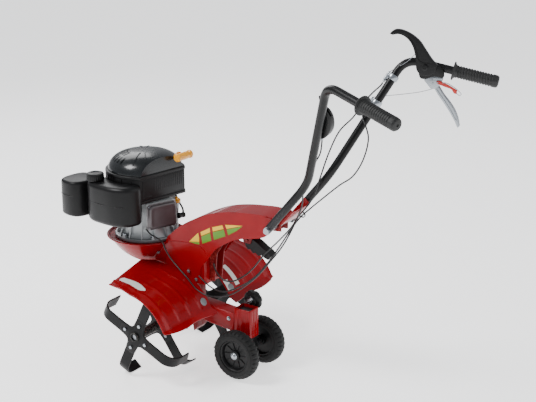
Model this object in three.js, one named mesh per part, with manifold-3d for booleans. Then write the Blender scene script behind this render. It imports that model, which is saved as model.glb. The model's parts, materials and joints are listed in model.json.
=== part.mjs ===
// A small petrol tiller: a round red deck with a vertical-shaft engine, a belt drive and a worm
// gearbox between four tine stars, a rear arm with two transport wheels, and a folding handlebar
// with its levers and cables.
// Units are millimetres. +X is forward, +Y is the machine's left and +Z is up.
import * as THREE from "three";
import { mergeVertices } from "three/addons/utils/BufferGeometryUtils.js";
import Module from "manifold-3d";

const wasm = await Module();
wasm.setup();

// ---------- clearances ----------
const TOUCH = 0.3; // between pieces that are bolted or pressed together
const RUN = 0.4; // round a shaft that turns
const RUB = 1.0; // between pieces that swing past each other

// ---------- driving dimensions ----------
const SHEET = 2.5; // pressed sheet of the covers and guards

const TINE_RADIUS = 153;
const TINE_WIDTH = 36;
const TINE_THICK = 5;
const CURL_RADIUS = 42; // of the bend in each blade
const FOOT_SLANT = -24; // degrees, how the foot of a blade is cut
const TINE_PHASES = { outer: 25, inner: 55 }; // degrees, first blade of each star
const OUTER_STAR_Y = 243;
const INNER_STAR_Y = 122;
const OUTER_REACH = 92; // how far a blade's foot reaches in from its star
const INNER_REACH = 62;
const STAR_TIP_RADIUS = 62;
const STAR_BOLT_CIRCLE = 50;
const ROTOR_TUBE_RADIUS = 15;
const ROTOR_OVERHANG = 9; // of the rotor tube beyond the outer star
const ROTOR_END_Y = OUTER_STAR_Y + ROTOR_OVERHANG;
const TINE_SHAFT_RADIUS = 9;

const WORM_RADIUS = 12;
const WORM_WHEEL_RADIUS = 40;
const WORM_WHEEL_WIDTH = 16;
const WORM_SHAFT_RADIUS = 8;
const GEARBOX_HALF_WIDTH = 26;
const GEARBOX_RADIUS = 51;
const GEARBOX_TOWER_HALF = 21;

const HOUSING_FLOOR_Z = 270;
const HOUSING_REAR_X = -122;
const DECK_X = 140; // centre of the round deck and of the crankshaft
const RIM_RADIUS = 129;
const RIM_Z = 384;
const RIM_SLOPE = 0.75; // how much the deck wall draws in for each millimetre down
const DECK_PLATE_Z = 378; // top of the plate that the engine stands on
const DECK_PLATE = 3;

const CRANK_RADIUS = 11;
const DRIVE_PULLEY_RADIUS = 24;
const DRIVEN_PULLEY_RADIUS = 43;
const PULLEY_ROOM = 4; // from the driven pulley to the side of the housing
const HOUSING_HALF_WIDTH = DRIVEN_PULLEY_RADIUS + PULLEY_ROOM;
const PULLEY_Z = 341;
const PULLEY_HEIGHT = 22;
const BELT_DEPTH = 7;
const BELT_HEIGHT = 10;

const TENSION_PIVOT = [20, 8]; // post that the tension arm swings on
const TENSION_ROLLER = [52, 12];
const TENSION_Z = PULLEY_Z + PULLEY_HEIGHT / 2;

const COVER_HALF_WIDTH = HOUSING_HALF_WIDTH + SHEET;
const PIVOT = { x: -371, z: 501 }; // bolt that the handlebar turns on
const PIVOT_BOLT_RADIUS = 5;

const GUARD_GAP = 11; // from the swept circle of the tines to the guards
const GUARD_RADIUS = TINE_RADIUS + GUARD_GAP;
const GUARD_OVERHANG = 49; // of the guards beyond the outer stars
const GUARD_OUTER_Y = OUTER_STAR_Y + GUARD_OVERHANG;
const GUARD_FRONT_X = 104;
const GUARD_REAR = { x: -182, lift: 52 }; // edge of the flared rear, above the tine axle
const GUARD_SWEEP = { first: 97, last: 158 }; // degrees of the rolled part

const ENGINE_YAW = -10; // degrees that the engine is turned on the deck
const ENGINE_FLANGE_RADIUS = 102;
const CRANKCASE_RADIUS = 80;
const CRANKCASE_TOP = 506;
const HEAD_YAW = -9; // degrees that the cylinder is turned on the crankcase
const HEAD_HALF_WIDTH = 54;
const SHROUD_RADIUS = 126;
const SHROUD_REAR = 84; // from the crankshaft to the flat rear face
const SHROUD_BOTTOM = 512;
const SHROUD_TOP = 600;
const DOME_TOP = 656;

const WHEEL_RADIUS = 78;
const WHEEL_WIDTH = 42;
const WHEEL_CENTRE_Y = 72;
const WHEEL_X = -257;
const RIM_OUTER_RADIUS = 50;
const WHEEL_AXLE_RADIUS = 6;
const WHEEL_SIDES = 20; // facets round the tyre and its hub, which fit each other

const SPUR_LOCK = { x: -216, z: 190 }; // stud that the spur lock turns on
const SOCKET = { x: -245, halfX: 30, halfY: 26, bottom: 113, top: 208, wall: 3 };
const SPUR_LOCK_Y = -SOCKET.halfY - RUB;
const POST_TOP = 200;

const TUBE_RADIUS = 12.2;
const TUBE_WALL = 2;
const TUBE_GAP = 1.3; // from the cover to the tubes beside it
const TUBE_Y = COVER_HALF_WIDTH + TUBE_GAP + TUBE_RADIUS;
const GRIP_RADIUS = 18;
const GRIP_FLANGE_RADIUS = 27;
const CABLE_RADIUS = 2.3;
const WIRE_RADIUS = 1;

// ---------- the handlebar's centre line, left side ----------
const LOWER_END = new THREE.Vector3(-364, TUBE_Y, 498);
const LOW_BEND = new THREE.Vector3(-501, TUBE_Y, 662);
const HIGH_BEND = new THREE.Vector3(-653, 220, 994);
const GRIP_END = new THREE.Vector3(-907, 308, 939);
const GRIP_LENGTH = 134;
const GRIP_START = GRIP_END.clone().add(HIGH_BEND.clone().sub(GRIP_END).setLength(GRIP_LENGTH));

// ---------- finishes: colour, roughness, metalness ----------
const RED = ["#a5101a", 0.3, 0.2];
const BLACK_PAINT = ["#1b1b1c", 0.45, 0.2];
const BLACK_PLASTIC = ["#242526", 0.5, 0];
const GREY_PLASTIC = ["#3a4043", 0.4, 0];
const RUBBER = ["#232323", 0.8, 0];
const STEEL = ["#b9bec2", 0.35, 0.9];
const ZINC = ["#cfd6d9", 0.25, 0.9];
const CAST_ALUMINIUM = ["#b4b8b8", 0.5, 0.8];
const HEAD_PAINT = ["#605a5c", 0.5, 0.4];
const IRON = ["#4b4b4d", 0.6, 0.7];
const BRONZE = ["#a07a3c", 0.4, 0.8];
const ORANGE_PLASTIC = ["#f0a020", 0.4, 0];
const RED_PLASTIC = ["#c03020", 0.5, 0];

// ---------- solids ----------
const rad = THREE.MathUtils.degToRad;

// A closed three.js geometry as a solid that can be joined and cut.
function solid(geometry) {
  const bare = geometry.clone();
  bare.deleteAttribute("normal");
  bare.deleteAttribute("uv");
  const merged = mergeVertices(bare, 1e-4);
  const vertProperties = merged.attributes.position.array;
  const triVerts = new Uint32Array(merged.index.array);
  return new wasm.Manifold(new wasm.Mesh({ numProp: 3, vertProperties, triVerts }));
}

// A solid back as a geometry for a mesh.
function geometryOf(shape) {
  const mesh = shape.getMesh();
  const geometry = new THREE.BufferGeometry();
  geometry.setAttribute("position", new THREE.BufferAttribute(new Float32Array(mesh.vertProperties), 3));
  geometry.setIndex(new THREE.BufferAttribute(new Uint32Array(mesh.triVerts), 1));
  const flat = geometry.toNonIndexed();
  flat.computeVertexNormals();
  return flat;
}

// A box given by its lowest and highest corners.
function block(low, high) {
  const size = high.map((value, axis) => value - low[axis]);
  const middle = high.map((value, axis) => (value + low[axis]) / 2);
  return solid(new THREE.BoxGeometry(...size).translate(...middle));
}

// A round bar between two points.
function rod(from, to, radius, sides = 16, endRadius = radius) {
  const start = new THREE.Vector3(...from);
  const along = new THREE.Vector3(...to).sub(start);
  const geometry = new THREE.CylinderGeometry(endRadius, radius, along.length(), sides);
  geometry.translate(0, along.length() / 2, 0);
  const turn = new THREE.Quaternion().setFromUnitVectors(new THREE.Vector3(0, 1, 0), along.normalize());
  geometry.applyQuaternion(turn);
  return solid(geometry.translate(start.x, start.y, start.z));
}

const shapeOf = (points) => new THREE.Shape(points.map(([u, v]) => new THREE.Vector2(u, v)));

// An outline of (x, z) points, as a plate between two y values.
function sidePlate(outline, yLow, yHigh) {
  const shape = outline instanceof THREE.Shape ? outline : shapeOf(outline);
  const geometry = new THREE.ExtrudeGeometry(shape,
    { depth: yHigh - yLow, bevelEnabled: false, curveSegments: 2 });
  return solid(geometry.rotateX(Math.PI / 2).translate(0, yHigh, 0));
}

// An outline of (x, y) points, as a plate between two z values.
function planPlate(outline, zLow, zHigh, segments = 3) {
  const shape = outline instanceof THREE.Shape ? outline : shapeOf(outline);
  const options = { depth: zHigh - zLow, bevelEnabled: false, curveSegments: segments };
  return solid(new THREE.ExtrudeGeometry(shape, options).translate(0, 0, zLow));
}

// A profile of (radius, height) points turned about the Z axis.
function turned(profile, sides = 32) {
  const points = profile.map(([radius, height]) => new THREE.Vector2(radius, height));
  const geometry = new THREE.LatheGeometry(points, sides).rotateX(Math.PI / 2);
  const shape = solid(geometry);
  return shape.volume() > 0 ? shape : solid(turnedInsideOut(geometry));
}

function turnedInsideOut(geometry) {
  const flipped = geometry.clone();
  const index = flipped.index.array;
  for (let i = 0; i < index.length; i += 3) {
    [index[i + 1], index[i + 2]] = [index[i + 2], index[i + 1]];
  }
  return flipped;
}

// A profile turned about the Y axis and moved to a place.
const turnedAboutY = (profile, sides) => turned(profile, sides).rotate([-90, 0, 0]);

function closedLoop(points) {
  return [...points, points[0]];
}

// A round section swept along a smooth curve through the points.
function sweep(path, radius, steps, sides = 8, innerRadius = 0) {
  const section = new THREE.Shape();
  const ring = (r) => Array.from({ length: sides }, (_, i) => {
    const angle = (2 * Math.PI * i) / sides;
    return new THREE.Vector2(r * Math.cos(angle), r * Math.sin(angle));
  });
  section.setFromPoints(ring(radius));
  if (innerRadius > 0) {
    section.holes.push(new THREE.Path(ring(innerRadius)));
  }
  return solid(new THREE.ExtrudeGeometry(section, { steps, bevelEnabled: false, extrudePath: path }));
}

const curveThrough = (points) =>
  new THREE.CatmullRomCurve3(points.map((p) => (p.isVector3 ? p : new THREE.Vector3(...p))), false,
    "centripetal");

// Straight runs joined by bends, each bend starting a set distance from its corner.
function bentPath(corners, bendReach) {
  const path = new THREE.CurvePath();
  let from = corners[0];
  for (let i = 1; i < corners.length - 1; i += 1) {
    const corner = corners[i];
    const before = corner.clone().add(from.clone().sub(corner).setLength(bendReach));
    const after = corner.clone().add(corners[i + 1].clone().sub(corner).setLength(bendReach));
    path.add(new THREE.LineCurve3(from, before));
    path.add(new THREE.QuadraticBezierCurve3(before, corner, after));
    from = after;
  }
  path.add(new THREE.LineCurve3(from, corners.at(-1)));
  return path;
}

// ---------- the model ----------
const model = new THREE.Group();

function addPiece(name, shape, finish, group = model) {
  const [color, roughness, metalness] = finish;
  const material = new THREE.MeshStandardMaterial({ color, roughness, metalness });
  const mesh = new THREE.Mesh(geometryOf(shape), material);
  mesh.name = name;
  group.add(mesh);
  return mesh;
}

const mirrored = (shape) => shape.mirror([0, 1, 0]);

// The lowest blades stand on the ground, so their angle sets the height of the tine axle.
const bladeAngles = (first) => [0, 1, 2, 3].map((quarter) => first + 90 * quarter);
const lowestSine = Math.min(
  ...Object.values(TINE_PHASES).flatMap((first) => bladeAngles(first).map((angle) => Math.sin(rad(angle)))),
);
const AXLE_Z = -lowestSine * TINE_RADIUS;

// ---------- gearbox, worm and tine shaft ----------
const WORM_X = -(WORM_RADIUS + WORM_WHEEL_RADIUS + RUN);
const GEARBOX_TOP = HOUSING_FLOOR_Z - TOUCH;
const SHAFT_BORE = TINE_SHAFT_RADIUS + RUN;

function gearboxHalf() {
  const wall = 5;
  const casing = rod([0, TOUCH / 2, AXLE_Z], [0, GEARBOX_HALF_WIDTH, AXLE_Z], GEARBOX_RADIUS, 24);
  const towerLow = [WORM_X - GEARBOX_TOWER_HALF, TOUCH / 2, AXLE_Z - 46];
  const towerHigh = [WORM_X + GEARBOX_TOWER_HALF, GEARBOX_HALF_WIDTH, GEARBOX_TOP];
  const wheelRoom = rod([0, -1, AXLE_Z], [0, WORM_WHEEL_WIDTH / 2 + RUB, AXLE_Z],
    WORM_WHEEL_RADIUS + RUB, 18);
  const wormRoom = rod([WORM_X, 0, AXLE_Z - 46 + wall], [WORM_X, 0, GEARBOX_TOP + 1], WORM_RADIUS + RUB,
    14);
  const axleBore = rod([0, 0, AXLE_Z], [0, GEARBOX_HALF_WIDTH + 1, AXLE_Z], SHAFT_BORE, 16);
  return casing.add(block(towerLow, towerHigh)).subtract(wheelRoom).subtract(wormRoom).subtract(axleBore);
}
addPiece("gearbox_left", gearboxHalf(), RED);
addPiece("gearbox_right", mirrored(gearboxHalf()), RED);

addPiece(
  "tine_shaft",
  rod([0, -ROTOR_END_Y + 4, AXLE_Z], [0, ROTOR_END_Y - 4, AXLE_Z], TINE_SHAFT_RADIUS, 24),
  STEEL,
);

function wormWheel() {
  const toothCount = 14;
  const toothDepth = 3;
  const half = WORM_WHEEL_WIDTH / 2;
  const bore = TINE_SHAFT_RADIUS + TOUCH;
  const outline = new THREE.Shape();
  const points = [];
  for (let tooth = 0; tooth < toothCount; tooth += 1) {
    for (const [share, drop] of [[0, toothDepth], [0.25, 0], [0.5, 0], [0.75, toothDepth]]) {
      const angle = (2 * Math.PI * (tooth + share)) / toothCount;
      const radius = WORM_WHEEL_RADIUS - drop;
      points.push(new THREE.Vector2(radius * Math.cos(angle), radius * Math.sin(angle)));
    }
  }
  outline.setFromPoints(points);
  const disc = sidePlate(outline, -half, half);
  return disc.subtract(rod([0, -half - 1, 0], [0, half + 1, 0], bore, 24)).translate([0, 0, AXLE_Z]);
}
addPiece("worm_wheel", wormWheel(), BRONZE);

function wormShaft() {
  const bottom = AXLE_Z - 38;
  const shaft = rod([WORM_X, 0, bottom], [WORM_X, 0, PULLEY_Z + PULLEY_HEIGHT + 6], WORM_SHAFT_RADIUS, 10);
  const threadTurns = 3;
  const threadPitch = 8;
  let worm = shaft;
  for (let turn = 0; turn < threadTurns; turn += 1) {
    const z = AXLE_Z + (turn - (threadTurns - 1) / 2) * threadPitch;
    const rib = closedLoop([[0, -3.5], [WORM_SHAFT_RADIUS, -3.5], [WORM_RADIUS, -1], [WORM_RADIUS, 1],
      [WORM_SHAFT_RADIUS, 3.5], [0, 3.5]]);
    worm = worm.add(turned(rib, 10).translate([WORM_X, 0, z]));
  }
  return worm;
}
addPiece("worm_shaft", wormShaft(), STEEL);

// ---------- tine rotors ----------
// A blade runs out in the star's plane, then curls towards the gearbox and ends in a pointed foot.
function tineBlade(angle, reach) {
  const tipRadius = Math.sqrt(TINE_RADIUS ** 2 - (TINE_WIDTH / 2) ** 2);
  const root = STAR_TIP_RADIUS - 30;
  const arcSteps = 3;
  const curl = (radius) => Array.from({ length: arcSteps + 1 }, (_, i) => {
    const along = (Math.PI / 2) * (i / arcSteps);
    return [tipRadius - CURL_RADIUS + radius * Math.sin(along), radius * Math.cos(along) - CURL_RADIUS];
  });
  const outline = [
    [root, -TINE_THICK],
    [root, 0],
    ...curl(CURL_RADIUS),
    [tipRadius, -reach],
    [tipRadius - TINE_THICK, -reach],
    ...curl(CURL_RADIUS - TINE_THICK).reverse(),
  ];
  const strip = new THREE.ExtrudeGeometry(shapeOf(outline), { depth: TINE_WIDTH, bevelEnabled: false });
  const blade = solid(strip.translate(0, TINE_THICK / 2, -TINE_WIDTH / 2));
  const offcut = block([0, -400, -400], [400, 0, 0]).rotate([FOOT_SLANT, 0, 0]);
  return blade.subtract(offcut.translate([0, 6 - reach, 2 - TINE_WIDTH / 2])).rotate([0, -angle, 0]);
}

function tineStar(phase, reach, boreRadius) {
  const corner = STAR_TIP_RADIUS;
  const waist = 26;
  const half = TINE_THICK / 2;
  const points = [];
  for (let quarter = 0; quarter < 4; quarter += 1) {
    for (const [radius, offset] of [[corner, -17], [corner, 17], [waist + 8, 35], [waist + 8, 55]]) {
      const angle = rad(phase + 90 * quarter + offset);
      points.push([radius * Math.cos(angle), radius * Math.sin(angle)]);
    }
  }
  let star = sidePlate(points, -half, half);
  for (const angle of bladeAngles(phase)) {
    star = star.add(tineBlade(angle, reach));
    const hole = [Math.cos(rad(angle)) * STAR_BOLT_CIRCLE, Math.sin(rad(angle)) * STAR_BOLT_CIRCLE];
    star = star.subtract(rod([hole[0], -40, hole[1]], [hole[0], 40, hole[1]], 5, 6));
  }
  return star.subtract(rod([0, -40, 0], [0, 40, 0], boreRadius, 16));
}

function rotorTube() {
  const start = GEARBOX_HALF_WIDTH + RUB;
  const bore = TINE_SHAFT_RADIUS + TOUCH;
  const outline = closedLoop([[bore, 0], [ROTOR_TUBE_RADIUS, 0], [ROTOR_TUBE_RADIUS, ROTOR_END_Y - start],
    [bore, ROTOR_END_Y - start]]);
  return turnedAboutY(outline, 16).translate([0, start, AXLE_Z]);
}

// The inner star is welded to the rotor tube, and the outer star slides onto its end.
const innerStar = tineStar(TINE_PHASES.inner, INNER_REACH, ROTOR_TUBE_RADIUS - 1)
  .translate([0, INNER_STAR_Y, AXLE_Z]);
const innerRotor = innerStar.add(rotorTube());
const outerStar = tineStar(TINE_PHASES.outer, OUTER_REACH, ROTOR_TUBE_RADIUS + TOUCH)
  .translate([0, OUTER_STAR_Y, AXLE_Z]);
addPiece("tine_rotor_left", innerRotor, BLACK_PAINT);
addPiece("tine_rotor_right", mirrored(innerRotor), BLACK_PAINT);
addPiece("tine_star_left", outerStar, BLACK_PAINT);
addPiece("tine_star_right", mirrored(outerStar), BLACK_PAINT);

// ---------- lower housing: the round deck and the belt case behind it ----------
const rimRadiusAt = (z, inset = 0) => RIM_RADIUS - inset - RIM_SLOPE * (RIM_Z - z);
const floorLine = [[HOUSING_REAR_X, HOUSING_FLOOR_Z], [-20, HOUSING_FLOOR_Z], [40, 286], [110, 310],
  [190, 345], [DECK_X + RIM_RADIUS, RIM_Z - 6]];
const raised = (line, lift) => line.map(([x, z]) => [x, z + lift]);

function deckCone(inset, zLow, zHigh) {
  const cone = turned([[0, zLow], [rimRadiusAt(zLow, inset), zLow], [rimRadiusAt(zHigh, inset), zHigh],
    [0, zHigh]], 28);
  return cone.translate([DECK_X, 0, 0]);
}

function aboveFloor(lift, rearInset) {
  const line = raised(floorLine, lift);
  const far = DECK_X + RIM_RADIUS;
  line[0][0] += rearInset;
  return sidePlate([...line, [far, 600], [line[0][0], 600]], -300, 300);
}

function lowerHousing() {
  const low = HOUSING_FLOOR_Z - 1;
  const beltCaseFront = DECK_X - 30;
  const beltCase = (inset, top) =>
    block([HOUSING_REAR_X, -HOUSING_HALF_WIDTH + inset, low],
      [beltCaseFront, HOUSING_HALF_WIDTH - inset, top]);
  const outside = deckCone(0, low, RIM_Z).add(beltCase(0, DECK_PLATE_Z)).intersect(aboveFloor(0, 0));
  const caseRoom = beltCase(SHEET, DECK_PLATE_Z - DECK_PLATE);
  const room = deckCone(SHEET, low, DECK_PLATE_Z - DECK_PLATE).add(caseRoom)
    .intersect(aboveFloor(SHEET, SHEET));
  const rimRoom = deckCone(SHEET, DECK_PLATE_Z, RIM_Z + 1);
  const openTop = block([HOUSING_REAR_X + SHEET, -HOUSING_HALF_WIDTH + SHEET, low + 40],
    [0, HOUSING_HALF_WIDTH - SHEET, 500]);
  const crankHole = rod([DECK_X, 0, 200], [DECK_X, 0, RIM_Z], CRANK_RADIUS + RUB * 4, 24);
  const wormHole = rod([WORM_X, 0, 200], [WORM_X, 0, HOUSING_FLOOR_Z + 20], WORM_SHAFT_RADIUS + RUB, 16);
  return outside
    .subtract(room)
    .subtract(rimRoom)
    .subtract(openTop.intersect(aboveFloor(SHEET, SHEET)))
    .subtract(crankHole.intersect(block([0, -50, DECK_PLATE_Z - 20], [300, 50, 500])))
    .subtract(wormHole)
    .add(rod([...TENSION_PIVOT, HOUSING_FLOOR_Z + 10], [...TENSION_PIVOT, TENSION_Z + 16], 4, 12)
      .intersect(aboveFloor(1, 1)));
}
addPiece("lower_housing", lowerHousing(), RED);

// ---------- upper cover: a humped channel from the deck to the handlebar ----------
const ridge = [[26, 398], [-33, 448], [-92, 483], [-156, 510], [-224, 526], [-279, 533], [-332, 537],
  [-374, 534]];
const coverUnderside = [[-378, 506], [-345, 470], [-244, 443], [-196, 417], [-167, 397], [-138, 361],
  [-108, 319], [-112, HOUSING_FLOOR_Z - 2], [-20, HOUSING_FLOOR_Z - 2], [26, 280]];

function upperCover() {
  const shape = new THREE.Shape();
  shape.moveTo(...ridge[0]);
  shape.splineThru(ridge.slice(1).map(([x, z]) => new THREE.Vector2(x, z)));
  coverUnderside.forEach(([x, z]) => shape.lineTo(x, z));
  shape.closePath();
  const outside = sidePlate(shape, -COVER_HALF_WIDTH, COVER_HALF_WIDTH);
  const lowered = ridge.map(([x, z]) => [x + SHEET, z - SHEET * 1.2]);
  const insideWidth = COVER_HALF_WIDTH - SHEET + 0.35;
  const inside = new THREE.Shape();
  inside.moveTo(60, lowered[0][1]);
  inside.lineTo(...lowered[0]);
  inside.splineThru(lowered.slice(1).map(([x, z]) => new THREE.Vector2(x, z)));
  inside.lineTo(-420, 532);
  inside.lineTo(-420, 200);
  inside.lineTo(60, 200);
  inside.closePath();
  const deckRoom = deckCone(-TOUCH, HOUSING_FLOOR_Z - 3, RIM_Z + TOUCH);
  const boltBore = rod([PIVOT.x, -100, PIVOT.z], [PIVOT.x, 100, PIVOT.z], PIVOT_BOLT_RADIUS + TOUCH, 12);
  return outside.subtract(sidePlate(inside, -insideWidth, insideWidth)).subtract(deckRoom)
    .subtract(boltBore);
}
addPiece("upper_cover", upperCover(), RED);

// ---------- column frame inside the cover ----------
const FRAME_HALF_WIDTH = 20;
const LOCK_PIVOT = { x: -262, z: 436 }; // pin of the lock lever that hangs under the frame
const frameOutline = [[HOUSING_REAR_X - TOUCH, HOUSING_FLOOR_Z + 8], [HOUSING_REAR_X - TOUCH, 376],
  [-152, 440], [-215, 488], [-300, 512], [-384, 517], [-384, 486], [-300, 480], [-226, 456],
  [-180, 418], [-150, 370], [-140, HOUSING_FLOOR_Z + 8]];

function columnFrame() {
  const wall = 3;
  const outside = sidePlate(frameOutline, -FRAME_HALF_WIDTH, FRAME_HALF_WIDTH);
  const room = sidePlate(frameOutline, -FRAME_HALF_WIDTH + wall, FRAME_HALF_WIDTH - wall)
    .translate([-wall, 0, -wall * 2]);
  const boltBore = rod([PIVOT.x, -100, PIVOT.z], [PIVOT.x, 100, PIVOT.z], PIVOT_BOLT_RADIUS + TOUCH, 12);
  const lugOutline = [[LOCK_PIVOT.x - 12, LOCK_PIVOT.z - 10], [LOCK_PIVOT.x + 12, LOCK_PIVOT.z - 10],
    [LOCK_PIVOT.x + 24, LOCK_PIVOT.z + 34], [LOCK_PIVOT.x - 30, LOCK_PIVOT.z + 44]];
  const lug = sidePlate(lugOutline, FRAME_HALF_WIDTH - wall, FRAME_HALF_WIDTH);
  const reach = FRAME_HALF_WIDTH + 4;
  const pin = rod([LOCK_PIVOT.x, -reach, LOCK_PIVOT.z], [LOCK_PIVOT.x, reach, LOCK_PIVOT.z], 4, 12);
  return outside.subtract(room).subtract(boltBore).add(lug).add(mirrored(lug)).add(pin);
}
addPiece("column_frame", columnFrame(), RED);

const boltReach = TUBE_Y + TUBE_RADIUS + RUB;
function pivotBolt() {
  const shank = rod([PIVOT.x, -boltReach - 4, PIVOT.z], [PIVOT.x, boltReach + 1, PIVOT.z],
    PIVOT_BOLT_RADIUS, 12);
  const head = rod([PIVOT.x, boltReach, PIVOT.z], [PIVOT.x, boltReach + 6, PIVOT.z], 10, 6);
  const nut = rod([PIVOT.x, -boltReach, PIVOT.z], [PIVOT.x, -boltReach - 6, PIVOT.z], 10, 6);
  return shank.add(head).add(nut);
}
addPiece("pivot_bolt", pivotBolt(), ZINC);

// The serrated lock lever hangs under the end of the cover and clamps the handlebar's height.
function heightLock() {
  const outline = [[-252, 446], [-268, 446], [-300, 430], [-318, 418], [-334, 410], [-346, 398],
    [-336, 386], [-322, 390], [-310, 396], [-300, 392], [-290, 400], [-280, 397], [-272, 408],
    [-262, 406], [-254, 416], [-248, 432]];
  const half = FRAME_HALF_WIDTH - 3 - RUB;
  const hub = rod([LOCK_PIVOT.x, -half, LOCK_PIVOT.z], [LOCK_PIVOT.x, half, LOCK_PIVOT.z], 13, 16);
  const bore = rod([LOCK_PIVOT.x, -40, LOCK_PIVOT.z], [LOCK_PIVOT.x, 40, LOCK_PIVOT.z], 4 + RUN, 12);
  return sidePlate(outline, -half, half).add(hub).subtract(bore);
}
addPiece("height_lock", heightLock(), BLACK_PLASTIC);

// ---------- mudguards over the tines ----------
function guard() {
  const outerArc = [];
  const innerArc = [];
  const steps = 10;
  for (let i = 0; i <= steps; i += 1) {
    const angle = rad(GUARD_SWEEP.first + ((GUARD_SWEEP.last - GUARD_SWEEP.first) * i) / steps);
    outerArc.push([GUARD_RADIUS * Math.cos(angle), AXLE_Z + GUARD_RADIUS * Math.sin(angle)]);
    const inner = GUARD_RADIUS - SHEET;
    innerArc.unshift([inner * Math.cos(angle), AXLE_Z + inner * Math.sin(angle)]);
  }
  const crown = AXLE_Z + GUARD_RADIUS;
  const front = [GUARD_FRONT_X, crown + 20];
  const shoulder = [52, crown + 14];
  const rear = [GUARD_REAR.x, AXLE_Z + GUARD_REAR.lift];
  const lowered = ([x, z]) => [x, z - SHEET];
  const outline = [front, shoulder, ...outerArc, rear, lowered(rear), ...innerArc, lowered(shoulder),
    lowered(front)];
  const inner = COVER_HALF_WIDTH + TOUCH;
  const sheet = sidePlate(outline, inner, GUARD_OUTER_Y);
  const flangeOutline = [[24, crown - 4], [24, crown + 22], [-60, crown + 8], [-100, crown - 19],
    [-104, crown - 44]];
  const underSheet = rod([0, 0, AXLE_Z], [0, inner + 2 * SHEET, AXLE_Z], GUARD_RADIUS - SHEET, 48);
  const flange = sidePlate(flangeOutline, inner, inner + SHEET).subtract(underSheet);
  const slantOuter = [50, GUARD_OUTER_Y + 28];
  const frontCut = planPlate([slantOuter, [GUARD_FRONT_X, 88], [GUARD_FRONT_X, 20], [300, 20],
    [300, slantOuter[1]]], 200, 500);
  const deckRoom = deckCone(-RUB, HOUSING_FLOOR_Z - 10, RIM_Z);
  const rearNotch = planPlate([[-300, 150], [-150, 150], [-150, 98], [-300, 40]], 100, AXLE_Z + 54);
  return sheet.add(flange).subtract(frontCut).subtract(deckRoom).subtract(rearNotch);
}
addPiece("guard_left", guard(), RED);
addPiece("guard_right", mirrored(guard()), RED);

// ---------- rear arm, spur socket and wheel carriage ----------
function rearArm() {
  const front = WORM_X - GEARBOX_TOWER_HALF - TOUCH;
  const rear = SOCKET.x + SOCKET.halfX - 1;
  const outline = [[front, AXLE_Z + 62], [rear, AXLE_Z + 50], [rear, AXLE_Z - 12], [front, AXLE_Z + 4]];
  const wall = 3;
  const outside = sidePlate(outline, -SOCKET.halfY, SOCKET.halfY);
  const room = sidePlate(outline, -SOCKET.halfY + wall, SOCKET.halfY - wall).translate([0, 0, -wall]);
  return outside.subtract(room);
}

function spurSocket() {
  const { x, halfX, halfY, bottom, top, wall } = SOCKET;
  const outside = block([x - halfX, -halfY, bottom], [x + halfX, halfY, top]);
  const room = block([x - halfX + wall, -halfY + wall, bottom - 1],
    [x + halfX - wall, halfY - wall, top + 1]);
  const stud = rod([SPUR_LOCK.x, -halfY + 1, SPUR_LOCK.z], [SPUR_LOCK.x, SPUR_LOCK_Y - 7, SPUR_LOCK.z],
    3, 12);
  const studHead = rod([SPUR_LOCK.x, SPUR_LOCK_Y - 5, SPUR_LOCK.z],
    [SPUR_LOCK.x, SPUR_LOCK_Y - 8, SPUR_LOCK.z], 6, 12);
  return outside.subtract(room).add(stud).add(studHead);
}
// The arm and the socket are welded into one piece.
addPiece("rear_arm", rearArm().add(spurSocket()), RED);

const postHalfX = SOCKET.halfX - SOCKET.wall - TOUCH;
const postHalfY = SOCKET.halfY - SOCKET.wall - TOUCH;
function spurPost() {
  const bottom = WHEEL_RADIUS - 16;
  const wall = 3;
  const outside = block([SOCKET.x - postHalfX, -postHalfY, bottom],
    [SOCKET.x + postHalfX, postHalfY, POST_TOP]);
  const room = block(
    [SOCKET.x - postHalfX + wall, -postHalfY + wall, bottom - 1],
    [SOCKET.x + postHalfX - wall, postHalfY - wall, POST_TOP - wall],
  );
  const tubeEnd = WHEEL_CENTRE_Y - WHEEL_WIDTH / 2 + 4 - RUB;
  const axleTube = rod([WHEEL_X, -tubeEnd, WHEEL_RADIUS], [WHEEL_X, tubeEnd, WHEEL_RADIUS], 11, 12);
  return outside.subtract(room).add(axleTube).add(wheelAxle());
}

const wheelOuter = WHEEL_CENTRE_Y + WHEEL_WIDTH / 2;
const hubOuter = wheelOuter - 8;
function wheelAxle() {
  const end = hubOuter + RUB;
  const shank = rod([WHEEL_X, -end - 6, WHEEL_RADIUS], [WHEEL_X, end + 6, WHEEL_RADIUS],
    WHEEL_AXLE_RADIUS, 12);
  const head = rod([WHEEL_X, end, WHEEL_RADIUS], [WHEEL_X, end + 5, WHEEL_RADIUS], 11, 12);
  return shank.add(head).add(mirrored(head));
}
// The axle is welded through the foot of the spur post.
addPiece("spur_post", spurPost(), BLACK_PAINT);

function tyre() {
  const half = WHEEL_WIDTH / 2;
  const profile = closedLoop([
    [RIM_OUTER_RADIUS, -half + 5], [RIM_OUTER_RADIUS + 4, -half + 1], [WHEEL_RADIUS - 16, -half],
    [WHEEL_RADIUS - 5, -half + 5], [WHEEL_RADIUS, -half + 13], [WHEEL_RADIUS, half - 13],
    [WHEEL_RADIUS - 5, half - 5], [WHEEL_RADIUS - 16, half],
    [RIM_OUTER_RADIUS + 4, half - 1], [RIM_OUTER_RADIUS, half - 5],
  ]);
  return turnedAboutY(profile, WHEEL_SIDES);
}

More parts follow.
